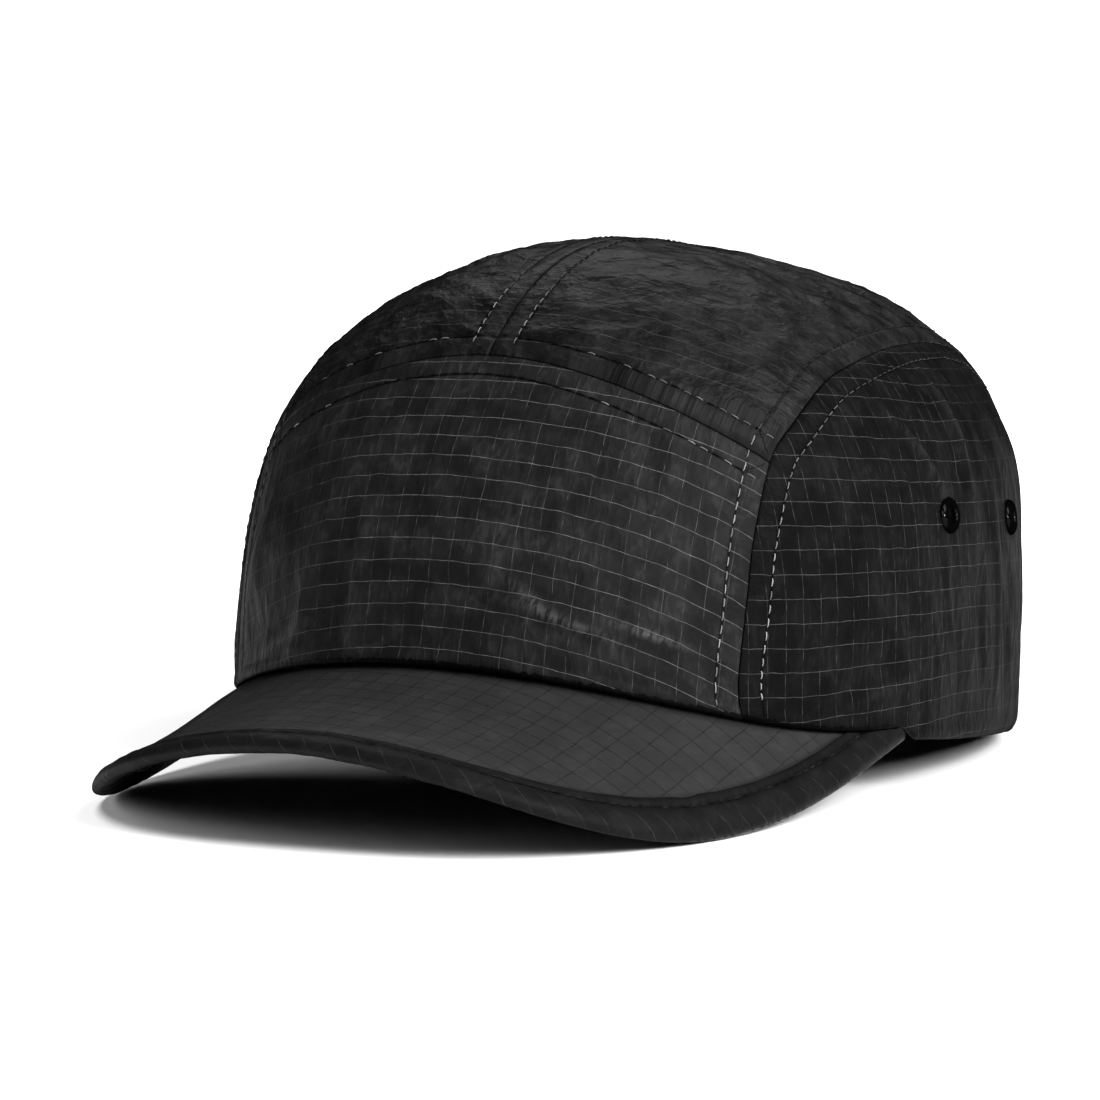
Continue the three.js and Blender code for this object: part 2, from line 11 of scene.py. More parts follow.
import bpy
import numpy as np
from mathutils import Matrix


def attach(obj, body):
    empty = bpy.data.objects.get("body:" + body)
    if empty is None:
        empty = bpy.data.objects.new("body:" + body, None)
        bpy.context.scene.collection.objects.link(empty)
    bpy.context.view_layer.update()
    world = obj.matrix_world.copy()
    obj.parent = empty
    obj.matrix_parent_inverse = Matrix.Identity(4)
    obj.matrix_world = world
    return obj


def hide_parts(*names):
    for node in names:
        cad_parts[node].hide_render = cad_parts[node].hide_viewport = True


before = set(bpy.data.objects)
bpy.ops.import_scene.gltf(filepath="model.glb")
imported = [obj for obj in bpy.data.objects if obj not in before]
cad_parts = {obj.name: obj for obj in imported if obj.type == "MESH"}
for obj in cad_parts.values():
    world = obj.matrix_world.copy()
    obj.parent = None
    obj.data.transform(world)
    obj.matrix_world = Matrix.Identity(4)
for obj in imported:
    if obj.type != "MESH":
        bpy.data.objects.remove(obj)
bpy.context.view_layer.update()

# %% [markdown]
# ## Sizes
# The crown is one smooth form, cut into panels. Its sizes are the ones that the solids were made with.
# Lengths are in millimetres and angles in degrees. MM turns millimetres into Blender's metres when a mesh
# is made. A squareness is the power of a superellipse: 2 gives an ellipse, and more gives fuller corners.

# %% Sizes of the crown, the hem and the peak
MM = 0.001
HALF_WIDTH, FRONT_REACH, BACK_REACH, CROWN_HEIGHT = 82.5, 104.4, 101.5, 109.7
FRONT_SQUARENESS, BACK_SQUARENESS, TOP_SHIFT = 2.2, 2.1, -5.3
DOME = {"front": 2.38, "side": 1.585, "back": 1.53}
WALL = {"front": 2.08, "side": 4.37, "back": 7.48}
REST_TILT = math.radians(4.1)
FOOTPRINT_SHIFT = 27.9
HEART = np.array([0.0, -4.0, 40.0])

# Columns: angle round the head, and height over the table of the hem that doesn't stand on the peak
FREE_HEM = np.array([
    (68, 12.0), (78, 10.4), (88, 8.6), (101, 6.8), (114, 5.0), (128, 2.4), (141, 0), (180, 0)])
FRONT_SEAM_HEIGHT, FRONT_SEAM_FALL, FRONT_SEAM_END = 83.2, 20.8, 45.3
# Columns: angle and height, from the front foot of the arch over the ear to its back foot
ARCH_SEAM = np.array([
    (40.2, 0), (39.6, 16), (40.6, 32), (42.0, 47), (45.3, 62.4), (49.5, 69.5), (57.5, 77.9), (66, 82.4),
    (82, 86.3), (102, 88.2), (116, 88.4), (128, 86.4), (139, 80), (146, 67), (150, 48), (151.5, 25),
    (152, 0)])
ARCH_FOOT_END, ARCH_BACK_START = 4, 12
OPENING_TOP, OPENING_FOOT = 50, 161

PEAK_HALF_WIDTH, PEAK_REACH, PEAK_SQUARENESS = 80, 160.5, 3
PEAK_END, PEAK_TAIL = 17.3, 31
PEAK_HALF_THICKNESS, PEAK_ROOT_HEIGHT, PEAK_SLOPE, PEAK_FLATTENING = 1.5, 14.4, 0.293, 4.9
PEAK_BEND, PEAK_BEND_TIGHTENING, PEAK_BEND_EVEN_BEHIND, PEAK_DROOP = 131, 0.112, 60, 8.6
BINDING_HALF_THICKNESS = 1.75
HEM_OVER_PEAK, PEAK_TAIL_ANGLES = 0.4, (69, 74)

CLOTH_THICKNESS = 1.3
SQUARE_SIZE = 4.75
STITCH_OFFSET, STITCH_PITCH = 5.4, 2.9

# %% [markdown]
# ## Small helpers
# Three things are needed again and again: a smooth step, smooth random noise for creases, and points at
# even distances along a line. The noise takes random numbers at whole places of a grid and blends them,
# which is quick on whole arrays and gives the same creases in every run.

# %% Smooth step, noise and even spacing
NOISE_CELLS = 64


def smooth(low, high, x):
    """0 below low, 1 above high, and between them 3t^2 - 2t^3 of the share t of the way."""
    t = np.clip((x - low) / (high - low), 0, 1)
    return t * t * (3 - 2 * t)


def noise(u, v, seed):
    """Smooth noise from -1 to 1: random numbers at whole places, blended by the smooth step of u and v."""
    table = np.random.default_rng(seed).uniform(-1, 1, (NOISE_CELLS, NOISE_CELLS))
    left, low = np.floor(u).astype(int), np.floor(v).astype(int)
    across, up = u - left, v - low
    across = across * across * (3 - 2 * across)
    up = up * up * (3 - 2 * up)
    at = lambda i, j: table[(left + i) % NOISE_CELLS, (low + j) % NOISE_CELLS]
    below = at(0, 0) * (1 - across) + at(1, 0) * across
    above = at(0, 1) * (1 - across) + at(1, 1) * across
    return below * (1 - up) + above * up


def ridges(u, v, seed):
    """Sharp folds between soft hollows: 1 where the noise is 0, falling to -1 where it is furthest from 0."""
    return 1 - 2 * np.abs(noise(u, v, seed)) ** 0.7


def turned(u, v, degrees):
    """u and v measured along axes turned by an angle: u cos a + v sin a, and v cos a - u sin a."""
    a = math.radians(degrees)
    return u * math.cos(a) + v * math.sin(a), v * math.cos(a) - u * math.sin(a)


def lengths_along(line):
    """Length of a line of points up to each of them."""
    return np.concatenate([[0], np.cumsum(np.linalg.norm(np.diff(line, axis=0), axis=1))])


def along(line, shares):
    """Points at the given shares of a line's length, straight between its own points."""
    lengths = lengths_along(line)
    return np.stack([np.interp(shares * lengths[-1], lengths, line[:, k]) for k in range(3)], -1)


def on_floor(points, least=0.02):
    """Nothing reaches below the floor: heights under the least one are raised to it."""
    return np.concatenate([points[..., :2], np.maximum(points[..., 2:], least)], -1)


def unit(vectors):
    """The same directions with a length of 1."""
    return vectors / np.linalg.norm(vectors, axis=-1, keepdims=True)


def graded(length, border=10.0, fine=0.42, coarse=0.85):
    """Shares from 0 to 1 that stand close together within a border of both ends, where the seams are."""
    near_end = lambda x: np.minimum(x, length - x)
    x = np.linspace(0, length, 2000)
    density = 1 / (fine + (coarse - fine) * smooth(border * 0.7, border * 1.3, near_end(x)))
    count = np.concatenate([[0], np.cumsum((density[1:] + density[:-1]) / 2 * np.diff(x))])
    return np.interp(np.linspace(0, count[-1], int(count[-1]) + 1), count, x) / length


# %% [markdown]
# ## The crown as one surface
# Seen from above the head opening is a rounded oblong, a superellipse. Each upright section is a curve
# that stands up as a wall and then rounds over into the top. Where the section looks forwards it leans
# back early, and at the sides and back it stands upright for longer.

# %% Points and normals of the crown
def reach(angle):
    """Distance from the middle to the hem line: (|sin|/half width)^n + (|cos|/reach)^n, to the power -1/n."""
    ahead = np.cos(angle)
    side = np.abs(np.sin(angle)) / HALF_WIDTH
    lengthways = np.abs(ahead) / np.where(ahead > 0, FRONT_REACH, BACK_REACH)
    n = np.where(ahead > 0, FRONT_SQUARENESS, BACK_SQUARENESS)
    return (side ** n + lengthways ** n) ** (-1 / n)


def section(angle):
    """Powers of the upright section: the front's or back's by cos^2 of the angle, and the side's by sin^2."""
    ahead = np.cos(angle)
    share = ahead ** 2
    pick = lambda row: np.where(ahead > 0, row["front"], row["back"]) * share + row["side"] * (1 - share)
    return pick(DOME), pick(WALL)


def crown_point(degrees, height):
    """Across = reach x (1 - up^wall)^(1/dome), where up is the share of the crown's height."""
    angle = np.radians(degrees)
    up = np.clip(height / CROWN_HEIGHT, 0, 1)
    dome, wall = section(angle)
    across = reach(angle) * (1 - up ** wall) ** (1 / dome)
    lengthways = TOP_SHIFT * up * up - across * np.cos(angle)
    return np.stack([across * np.sin(angle), lengthways, height + 0 * across], -1)


def crown_angle(p):
    """Angle round the head, 0 at the front and 90 at the wearer's left ear, of points of the crown."""
    up = np.maximum(p[..., 2] / CROWN_HEIGHT, 0)
    return np.arctan2(p[..., 0], TOP_SHIFT * up * up - p[..., 1])


def crown_level(p):
    """(distance/reach)^dome + up^wall: under 1 inside the crown and over 1 outside it."""
    up = np.maximum(p[..., 2] / CROWN_HEIGHT, 0)
    angle = crown_angle(p)
    dome, wall = section(angle)
    return (np.hypot(p[..., 0], p[..., 1] - TOP_SHIFT * up * up) / reach(angle)) ** dome + up ** wall


def on_crown(p):
    """Moves points along the line from the heart of the cap to where the level is 1, by halving the range."""
    ray = p - HEART
    inside, outside = np.zeros(p.shape[:-1]), np.full(p.shape[:-1], 1.6)
    for _ in range(30):
        middle = (inside + outside) / 2
        is_inside = crown_level(HEART + ray * middle[..., None]) < 1
        inside, outside = np.where(is_inside, middle, inside), np.where(is_inside, outside, middle)
    return HEART + ray * inside[..., None]


def crown_normal(p, step=0.5):
    """Direction in which the level grows fastest, from its change over a small step each way."""
    growth = [crown_level(p + step * axis) - crown_level(p - step * axis) for axis in np.eye(3)]
    return unit(np.stack(growth, -1))


def rested(p):
    """Leans points of the cap's own frame back about the back of its hem, as the cap lies on a table."""
    y = p[..., 1] - BACK_REACH
    cos, sin = math.cos(REST_TILT), math.sin(REST_TILT)
    along_table = BACK_REACH + y * cos + p[..., 2] * sin + FOOTPRINT_SHIFT
    return np.stack([p[..., 0], along_table, p[..., 2] * cos - y * sin], -1)


# %% [markdown]
# ## Lengths over the cloth
# Ripstop has a thicker thread every few millimetres both ways, so its squares show how the cloth lies.
# The squares are drawn from two lengths: how far round the crown a point is at its height, and how far
# up the wall it is. A table of both is summed once, and read for any point.

# %% Tables of length round and up the crown
TABLE_ANGLES = np.linspace(-180, 180, 361)
TABLE_HEIGHTS = np.linspace(0, CROWN_HEIGHT, 220)
table_points = crown_point(TABLE_ANGLES[:, None], TABLE_HEIGHTS[None, :])
steps_up = np.linalg.norm(np.diff(table_points, axis=1), axis=2)
LENGTH_UP = np.pad(np.cumsum(steps_up, axis=1), ((0, 0), (1, 0)))
steps_round = np.linalg.norm(np.diff(table_points, axis=0), axis=2)
LENGTH_ROUND = np.pad(np.cumsum(steps_round, axis=0), ((1, 0), (0, 0)))
LENGTH_ROUND = LENGTH_ROUND - LENGTH_ROUND[len(TABLE_ANGLES) // 2]
print("round the hem:", round(float(LENGTH_ROUND[-1, 0] - LENGTH_ROUND[0, 0])), "mm")


def read_table(table, degrees, height):
    """Value of a table at an angle and a height, shared between the four nearest entries."""
    a = np.clip((degrees + 180) / 360 * (len(TABLE_ANGLES) - 1), 0, len(TABLE_ANGLES) - 1.001)
    h = np.clip(height / CROWN_HEIGHT * (len(TABLE_HEIGHTS) - 1), 0, len(TABLE_HEIGHTS) - 1.001)
    i, j = a.astype(int), h.astype(int)
    a, h = a - i, h - j
    low = table[i, j] * (1 - a) + table[i + 1, j] * a
    high = table[i, j + 1] * (1 - a) + table[i + 1, j + 1] * a
    return low * (1 - h) + high * h


# %% [markdown]
# ## The peak as one surface
# The peak is a sheet that slopes down to the front and is bent across the head, more at its corners.
# The hem of the crown stands on it, so this surface comes before the hem.

# %% Middle surface of the peak and the height of the hem
def peak_middle(x, y):
    """Root height + slope + a lift to the front, less the bend's arc and the droop's fourth power of x."""
    ahead = np.maximum(-y - FRONT_REACH, -PEAK_BEND_EVEN_BEHIND)
    radius = PEAK_BEND - PEAK_BEND_TIGHTENING * ahead
    bend = radius - np.sqrt(radius * radius - x * x) + PEAK_DROOP * (x / PEAK_HALF_WIDTH) ** 4
    lift = PEAK_FLATTENING * (np.maximum(ahead, 0) / (PEAK_REACH - FRONT_REACH)) ** 2
    return np.stack([x, y, PEAK_ROOT_HEIGHT + PEAK_SLOPE * (y + FRONT_REACH) + lift - bend], -1)


def peak_normal(x, y, step=0.5):
    """Across the surface's steps over x and over y."""
    across = peak_middle(x + step, y) - peak_middle(x - step, y)
    lengthways = peak_middle(x, y + step) - peak_middle(x, y - step)
    return unit(np.cross(across, lengthways))


def over_peak(p):
    """Height just over the binding's top at a place of the plan."""
    rise = BINDING_HALF_THICKNESS / peak_normal(p[..., 0], p[..., 1])[..., 2]
    return peak_middle(p[..., 0], p[..., 1])[..., 2] + rise + HEM_OVER_PEAK


def hem_height(degrees):
    """Over the peak the hem clears its top, and behind it follows FREE_HEM, blended at the peak's tail."""
    from_front = np.abs(degrees)
    foot = crown_point(degrees, 0 * from_front)
    for _ in range(3):
        above_table = np.interp(from_front, FREE_HEM[:, 0], FREE_HEM[:, 1])
        free = (above_table + (foot[..., 1] - BACK_REACH) * math.sin(REST_TILT)) / math.cos(REST_TILT)
        on_peak = np.maximum(over_peak(foot), free)
        share = smooth(*PEAK_TAIL_ANGLES, from_front)
        foot = crown_point(degrees, on_peak * (1 - share) + free * share)
    return foot[..., 2]


# %% [markdown]
# ## Seam lines
# Every panel lies between seam lines: the arched seam round each side panel, the seam over the front,
# the middle seam, and the edge of the opening at the back. Each is a line of points on the crown, and
# neighbours use the same line, so the panels meet.

# %% Seam lines on the crown
LINE_STEPS, POINTS_AT_ONCE, RAY_LENGTH = 400, 4000, 60


def spline(values, at):
    """Catmull-Rom spline: a cubic through the four nearest values, with slopes taken from the neighbours."""
    padded = np.concatenate([2 * values[:1] - values[1:2], values, 2 * values[-1:] - values[-2:-1]])
    i = np.clip(np.floor(at).astype(int), 0, len(values) - 2)
    t = (at - i)[:, None]
    a, b, c, d = (padded[i + k] for k in range(4))
    square, cube = 2 * a - 5 * b + 4 * c - d, 3 * b - a - 3 * c + d
    return 0.5 * (2 * b + (c - a) * t + square * t ** 2 + cube * t ** 3)


arch_rows = ARCH_SEAM.astype(float)
arch_rows[[0, -1], 1] = hem_height(arch_rows[[0, -1], 0])


def arch_line(first, last):
    """The arched seam between two of its rows, which are counted from its front foot."""
    rows = spline(arch_rows, np.linspace(first, last, LINE_STEPS))
    return crown_point(rows[:, 0], rows[:, 1])


def hem_line(first, last):
    """The hem between two angles."""
    degrees = np.linspace(first, last, LINE_STEPS)
    return crown_point(degrees, hem_height(degrees))


def front_seam_line(first, last):
    """The seam over the front between two angles: it falls with the square of the angle."""
    degrees = np.linspace(first, last, LINE_STEPS)
    return crown_point(degrees, FRONT_SEAM_HEIGHT - FRONT_SEAM_FALL * (degrees / FRONT_SEAM_END) ** 2)


def middle_line():
    """The middle seam: rays from the heart in the middle plane, from the front seam to the opening."""
    start = crown_point(np.array(0.0), np.array(FRONT_SEAM_HEIGHT)) - HEART
    end = crown_point(np.array(180.0), np.array(float(OPENING_TOP))) - HEART
    turn = np.linspace(math.atan2(start[2], start[1]), math.atan2(end[2], end[1]), LINE_STEPS)
    return on_crown(HEART + RAY_LENGTH * np.stack([0 * turn, np.cos(turn), np.sin(turn)], -1))


def opening_line():
    """A half-moon from the top of the opening down to the hem."""
    turn = np.linspace(0, math.pi / 2, LINE_STEPS)
    foot = hem_height(np.array(float(OPENING_FOOT)))
    height = foot + (OPENING_TOP - foot) * np.cos(turn)
    return crown_point(180 - (180 - OPENING_FOOT) * np.sin(turn), height)


LAST_ROW = len(ARCH_SEAM) - 1
WHOLE_ARCH = arch_line(0, LAST_ROW)
FRONT_SEAM = front_seam_line(-FRONT_SEAM_END, FRONT_SEAM_END)
MIDDLE_SEAM = middle_line()
OPENING = opening_line()
MIRROR = np.array([-1.0, 1.0, 1.0])
print("arched seam:", round(float(lengths_along(WHOLE_ARCH)[-1])), "mm long")


def nearest_on(line, p):
    """Distance from points to a line, and the length along the line to where it is nearest.

    The points are taken some at a time, because all distances of a panel at once would fill the memory."""
    flat = p.reshape(-1, 3)
    lengths = lengths_along(line)
    distance, at = np.empty(len(flat)), np.empty(len(flat))
    for start in range(0, len(flat), POINTS_AT_ONCE):
        some = slice(start, start + POINTS_AT_ONCE)
        part = flat[some]
        gap = (part ** 2).sum(1)[:, None] + (line ** 2).sum(1)[None] - 2 * part @ line.T
        i = gap.argmin(1)
        a, b = line[np.maximum(i - 1, 0)], line[np.minimum(i + 1, len(line) - 1)]
        share = np.clip(((part - a) * (b - a)).sum(1) / ((b - a) ** 2).sum(1), 0, 1)
        distance[some] = np.linalg.norm(part - a - (b - a) * share[:, None], axis=1)
        before, after = lengths[np.maximum(i - 1, 0)], lengths[np.minimum(i + 1, len(line) - 1)]
        at[some] = before + (after - before) * share
    return distance.reshape(p.shape[:-1]), at.reshape(p.shape[:-1])


# %% [markdown]
# ## What the cloth does
# The cloth isn't smooth. The solids have a few broad soft folds, and the photo shows finer ones: short
# creases that run across the front, upright crinkles, and a crumpled top. At a seam the cloth dips into
# the join, stands up over the pressed-open allowance, and is drawn in by the stitches on each side.
# All of these are heights over the smooth crown, added up for each point.

# %% Broad folds, creases and seam relief
# The columns of each table: angle, height, run (0 is upright, 90 along the hem), half length, half width
# and rise. FOLDS are the broad folds that the solids have too, and CREASES are finer.
FOLDS = np.array([
    (-17, 38, 6, 34, 8, 1.1), (24, 24, 76, 26, 5, 0.8), (8, 30, 84, 22, 7, -0.8),
    (96, 62, -14, 20, 7, 0.9), (118, 30, 4, 30, 8, 1.0), (-62, 40, -10, 30, 8, 1.0),
    (-105, 34, 6, 30, 9, -1.2), (142, 34, -8, 28, 9, -1.2)])
CREASES = np.array([
    (17.3, 28.4, 108, 11, 1.5, 0.75), (19.5, 25.0, 106, 12, 2.2, -0.5), (27, 25.4, 106, 6.5, 1.3, 0.6),
    (13.0, 33.0, 128, 6, 1.6, 0.5), (7.2, 31.6, 116, 5, 1.0, -0.9), (5.0, 34.8, 100, 7, 1.4, -0.5),
    (-10.6, 28, -3, 16, 1.8, 0.55), (-10.4, 48, 2, 14, 2.0, 0.4), (-14, 30, 10, 12, 2.0, -0.4),
    (-19, 24, 8, 26, 2.0, 0.5), (-20, 16, 70, 9, 2.5, 0.5), (-28, 22, 60, 11, 3.0, -0.6),
    (-33, 40, 10, 14, 3.5, 0.7), (-30, 60, 30, 10, 3.0, -0.5), (12, 52, 6, 13, 1.6, -0.35),
    (16, 50, 4, 15, 1.8, 0.35), (30, 60, 8, 10, 2.2, 0.4), (34, 36, 3, 12, 2.4, -0.3),
    (92, 70, -6, 10, 1.9, 0.9), (88, 62, -28, 10, 1.6, -0.6), (76, 66, -52, 13, 1.8, 0.7),
    (71, 62, -56, 12, 1.6, -0.5), (80, 59, -38, 9, 1.5, 0.6), (97, 60, -10, 14, 2.4, -0.7),
    (102, 40, 2, 22, 2.2, 0.6), (94, 26, -3, 18, 2.0, -0.4), (110, 22, 4, 16, 2.6, 0.6),
    (60, 16, 62, 10, 2.4, -0.5), (66, 13, 74, 12, 2.2, 0.5), (124, 56, -20, 16, 3.0, 0.7),
    (-80, 58, 30, 14, 2.5, 0.7), (-92, 30, 6, 18, 2.5, -0.6), (-64, 60, 48, 13, 2.0, 0.6),
    (-118, 50, 12, 18, 3.0, 0.7), (-55, 22, -60, 11, 2.4, 0.5)])
# Crests with a painted highlight, a painted sheen where the creases catch the light, in the same columns with
# a strength last
CREST_HIGHLIGHTS = np.array([
    (17.6, 27.9, 110, 10, 0.9, 1.0), (28, 25.6, 108, 7, 0.9, 0.9), (13.4, 32.2, 128, 6, 1.0, 0.8),
    (-10.6, 28, -3, 14, 1.2, 0.3), (-24, 19, 65, 10, 1.3, 0.5), (9, 44, 4, 12, 1.0, 0.3),
    (92, 70, -6, 10, 1.1, 0.6), (80, 59, -38, 9, 1.0, 0.5), (76, 66, -52, 12, 1.0, 0.5),
    (88, 60, -20, 9, 0.9, 0.4), (102, 40, 2, 22, 1.2, 0.4), (97, 48, -8, 12, 0.9, 0.4),
    (66, 14, 74, 12, 1.0, 0.4)])
# Columns: place across and lengthways from above, run (0 is lengthways), half length, half width, rise
TOP_CREASES = np.array([
    (22, -8, 62, 16, 3.0, -1.0), (30, 2, 48, 15, 2.6, 0.9), (38, -2, 40, 14, 2.2, -0.9),
    (47, -6, 36, 13, 2.2, 0.7), (53, -16, 30, 11, 1.8, -0.7), (14, -40, 80, 14, 3.2, -0.5),
    (30, -46, 74, 16, 2.6, 0.5), (40, -34, 60, 13, 2.0, -0.5), (24, -28, 66, 12, 2.2, 0.4),
    (44, -44, 52, 12, 1.8, 0.5), (12, 14, 85, 15, 3.0, 0.8), (36, 18, 60, 18, 3.0, -0.9),
    (-20, -20, -50, 16, 3.0, 0.8), (-34, -30, -40, 15, 2.4, -0.8), (-16, -44, -72, 14, 2.6, -0.6),
    (-30, 4, -56, 18, 3.0, 0.8), (-26, 34, -70, 20, 3.4, -0.9), (20, 44, 70, 20, 3.4, 0.8)])
MEAN_REACH = (HALF_WIDTH + FRONT_REACH) / 2


def fold_rise(p, table):
    """Sum over the folds of rise x exp(-(along / half length)^2 - (across / half width)^2)."""
    degrees = np.degrees(np.arctan2(p[..., 0], -p[..., 1]))
    total = np.zeros(p.shape[:-1])
    for angle, height, run, half_length, half_width, rise in table:
        sideways, upward = np.radians(degrees - angle) * MEAN_REACH, p[..., 2] - height
        a = math.radians(run)
        lengthways = sideways * math.sin(a) + upward * math.cos(a)
        across = sideways * math.cos(a) - upward * math.sin(a)
        total += rise * np.exp(-(lengthways / half_length) ** 2 - (across / half_width) ** 2)
    return total


def top_fold_rise(p):
    """The same sum for the top, with places seen from above."""
    total = np.zeros(p.shape[:-1])
    for x, y, run, half_length, half_width, rise in TOP_CREASES:
        across, lengthways = turned(p[..., 0] - x, p[..., 1] - y, -run)
        total += rise * np.exp(-(lengthways / half_length) ** 2 - (across / half_width) ** 2)
    return total


SEAM_DIP, SEAM_DIP_WIDTH = 0.28, 0.4
PILLOW_RISE, ALLOWANCE_RISE, ALLOWANCE_END = 0.12, 0.14, 8.0
STITCH_PULL, STITCH_PULL_WIDTH = 0.16, 0.7
PUCKER_RISE = 0.11


def bell(distance, width):
    """exp(-(distance / width)^2): 1 at its middle, and nearly 0 beyond twice the width."""
    return np.exp(-(distance / width) ** 2)


def seam_relief(distance, at, seed):
    """A dip into the seam, a pillow over the allowance, puckers, and the stitch row pulled in."""
    dip = -SEAM_DIP * bell(distance, SEAM_DIP_WIDTH)
    pillow = PILLOW_RISE * np.sin(math.pi * np.clip(distance / STITCH_OFFSET, 0, 1))
    step = ALLOWANCE_RISE * (1 - smooth(STITCH_OFFSET, ALLOWANCE_END, distance))
    needle = 1 + 0.5 * np.cos(2 * math.pi * at / STITCH_PITCH)
    pull = -STITCH_PULL * needle * bell(distance - STITCH_OFFSET, STITCH_PULL_WIDTH)
    between = smooth(0.4, 2.5, distance) * (1 - smooth(5.5, 12, distance))
    pucker = noise(at / 2.1, distance / 9, seed) + 0.6 * noise(at / 5.3, distance / 14, seed + 1)
    return dip + pillow + step + pull + PUCKER_RISE * between * pucker


# %% [markdown]
# ## Cloth of each panel
# Each panel has its own squares and its own way of creasing. The front is flat with short creases, the
# sides have upright crinkles that grow towards the back, and the top is crumpled all over. The squares
# could be an image, but worked out as two lengths over the cloth they stay sharp in any view. The lines
# over the front bow a little, and those across a side fan out towards the arch.

# %% Squares and crinkles of the three kinds of panel
EYELETS = {"front": (84.0, 51.0), "back": (112.0, 49.5)}
EYELET_SPOTS = crown_point(*np.array(list(EYELETS.values())).T)
EYELET_DENT, EYELET_DENT_WIDTH = 0.5, 5.5
FRONT_LINES_FROM, FRONT_LINES_BOW = 21.3, 0.0035
SIDE_ANGLE, SIDE_LINES_ACROSS_FROM, SIDE_LINES_UP_FROM = 85, 54.5, 35.2
FAN_LEVEL, FAN_AT_ARCH, FAN_AT_EYELET, EYELET_FROM_ARCH = 12.0, 0.906, 1.01, 53.5


def crinkled(rows, u, v, seed):
    """Sum of the rows. Each is a pattern, its turn in degrees, rise, sizes across and along, and own seed."""
    total = 0
    for pattern, degrees, rise, across, lengthways, own_seed in rows:
        a, b = turned(u, v, degrees)
        total = total + rise * pattern(a / across, b / lengthways, seed + own_seed)
    return total


def front_cloth(p):
    """Length round from the middle of the front, and length up, where the lines across bow."""
    degrees = np.degrees(crown_angle(p))
    u = read_table(LENGTH_ROUND, degrees, p[..., 2])
    v = read_table(LENGTH_UP, degrees, p[..., 2]) + FRONT_LINES_BOW * u * u
    return u, v - FRONT_LINES_FROM


def front_crinkles(p, seed):
    return crinkled([
        (noise, 0, 0.42, 17, 13, 0), (noise, 12, 0.10, 2.2, 13, 1),
        (noise, 0, 0.10, 5.1, 4.3, 2), (ridges, 12, 0.16, 9, 16, 3)], *front_cloth(p), seed)


def side_cloth(p):
    """Length round from near the arch, and length up, where the lines across fan out towards the arch."""
    degrees = np.abs(np.degrees(crown_angle(p)))
    u = read_table(LENGTH_ROUND, degrees, p[..., 2])
    u = u - read_table(LENGTH_ROUND, 0 * degrees + SIDE_ANGLE, p[..., 2]) + SIDE_LINES_ACROSS_FROM
    v = read_table(LENGTH_UP, degrees, p[..., 2]) - SIDE_LINES_UP_FROM
    fan = FAN_AT_ARCH + (FAN_AT_EYELET - FAN_AT_ARCH) * np.clip(u / EYELET_FROM_ARCH, 0, 1.1)
    return u, FAN_LEVEL + (v - FAN_LEVEL) * fan


def from_eyelets(p):
    """Distance to the place of the nearest eyelet, the same on both sides of the cap."""
    mirrored = np.concatenate([np.abs(p[..., :1]), p[..., 1:]], -1)
    return np.min([np.linalg.norm(mirrored - spot, axis=-1) for spot in EYELET_SPOTS], axis=0)


def side_crinkles(p, seed):
    """Soft waves, upright crinkles that grow to the back, and a dent round each eyelet."""
    u, v = side_cloth(p)
    back = smooth(20, 62, u)
    dents = -EYELET_DENT * bell(from_eyelets(p), EYELET_DENT_WIDTH)
    return dents + crinkled([
        (noise, 0, 0.4, 19, 16, 2), (noise, 10, 0.06 + 0.20 * back, 1.9, 22, 0),
        (noise, 10, 0.08 + 0.20 * back, 4.6, 30, 1), (ridges, 10, 0.13, 8, 15, 3)], u, v, seed)


def top_cloth(p):
    """Across from the middle seam, as on a circle of the crown's half width, and along it from the front."""
    middle_lengths = lengths_along(MIDDLE_SEAM)
    middle_turns = np.arctan2(MIDDLE_SEAM[:, 2] - HEART[2], MIDDLE_SEAM[:, 1] - HEART[1])
    turn = np.arctan2(p[..., 2] - HEART[2], p[..., 1] - HEART[1])
    u = HALF_WIDTH * np.arcsin(np.clip(np.abs(p[..., 0]) / HALF_WIDTH, 0, 1))
    return u, np.interp(-turn, -middle_turns, middle_lengths)


def top_crinkles(p, seed):
    return crinkled([
        (noise, 0, 0.5, 21, 24, 0), (ridges, 32, 0.30, 15, 8.5, 1),
        (ridges, 32, 0.17, 6, 3.6, 2), (noise, 32, 0.10, 2.8, 1.7, 3)], *top_cloth(p), seed)


# %% [markdown]
# ## Putting a surface into a mesh
# A panel is two grids of points, its outside and its inside, closed along their edges. The faces are
# worked out as arrays of indices. The squares of the cloth are stored as the piece's UV map, counted in
# squares and divided by UV_SQUARES so that they fit. What else the material has to know, such as how
# near a seam is and where the cloth is in shade, is stored as attributes, a value for each point.

# %% Meshes from grids
UV_SQUARES = 64


def grid_faces(index, flip=False):
    """Four-cornered faces between the neighbours of a grid of indices."""
    corners = [index[:-1, :-1], index[:-1, 1:], index[1:, 1:], index[1:, :-1]]
    if flip:
        corners = corners[::-1]
    return np.stack(corners, -1).reshape(-1, 4)


def grid_index(points, close_rows=False, close_columns=False):
    """Indices of a grid of points, with its first row or column again at the end where that closes a ring."""
    index = np.arange(points.shape[0] * points.shape[1]).reshape(points.shape[:2])
    if close_rows:
        index = np.concatenate([index, index[:1]], axis=0)
    if close_columns:
        index = np.concatenate([index, index[:, :1]], axis=1)
    return index


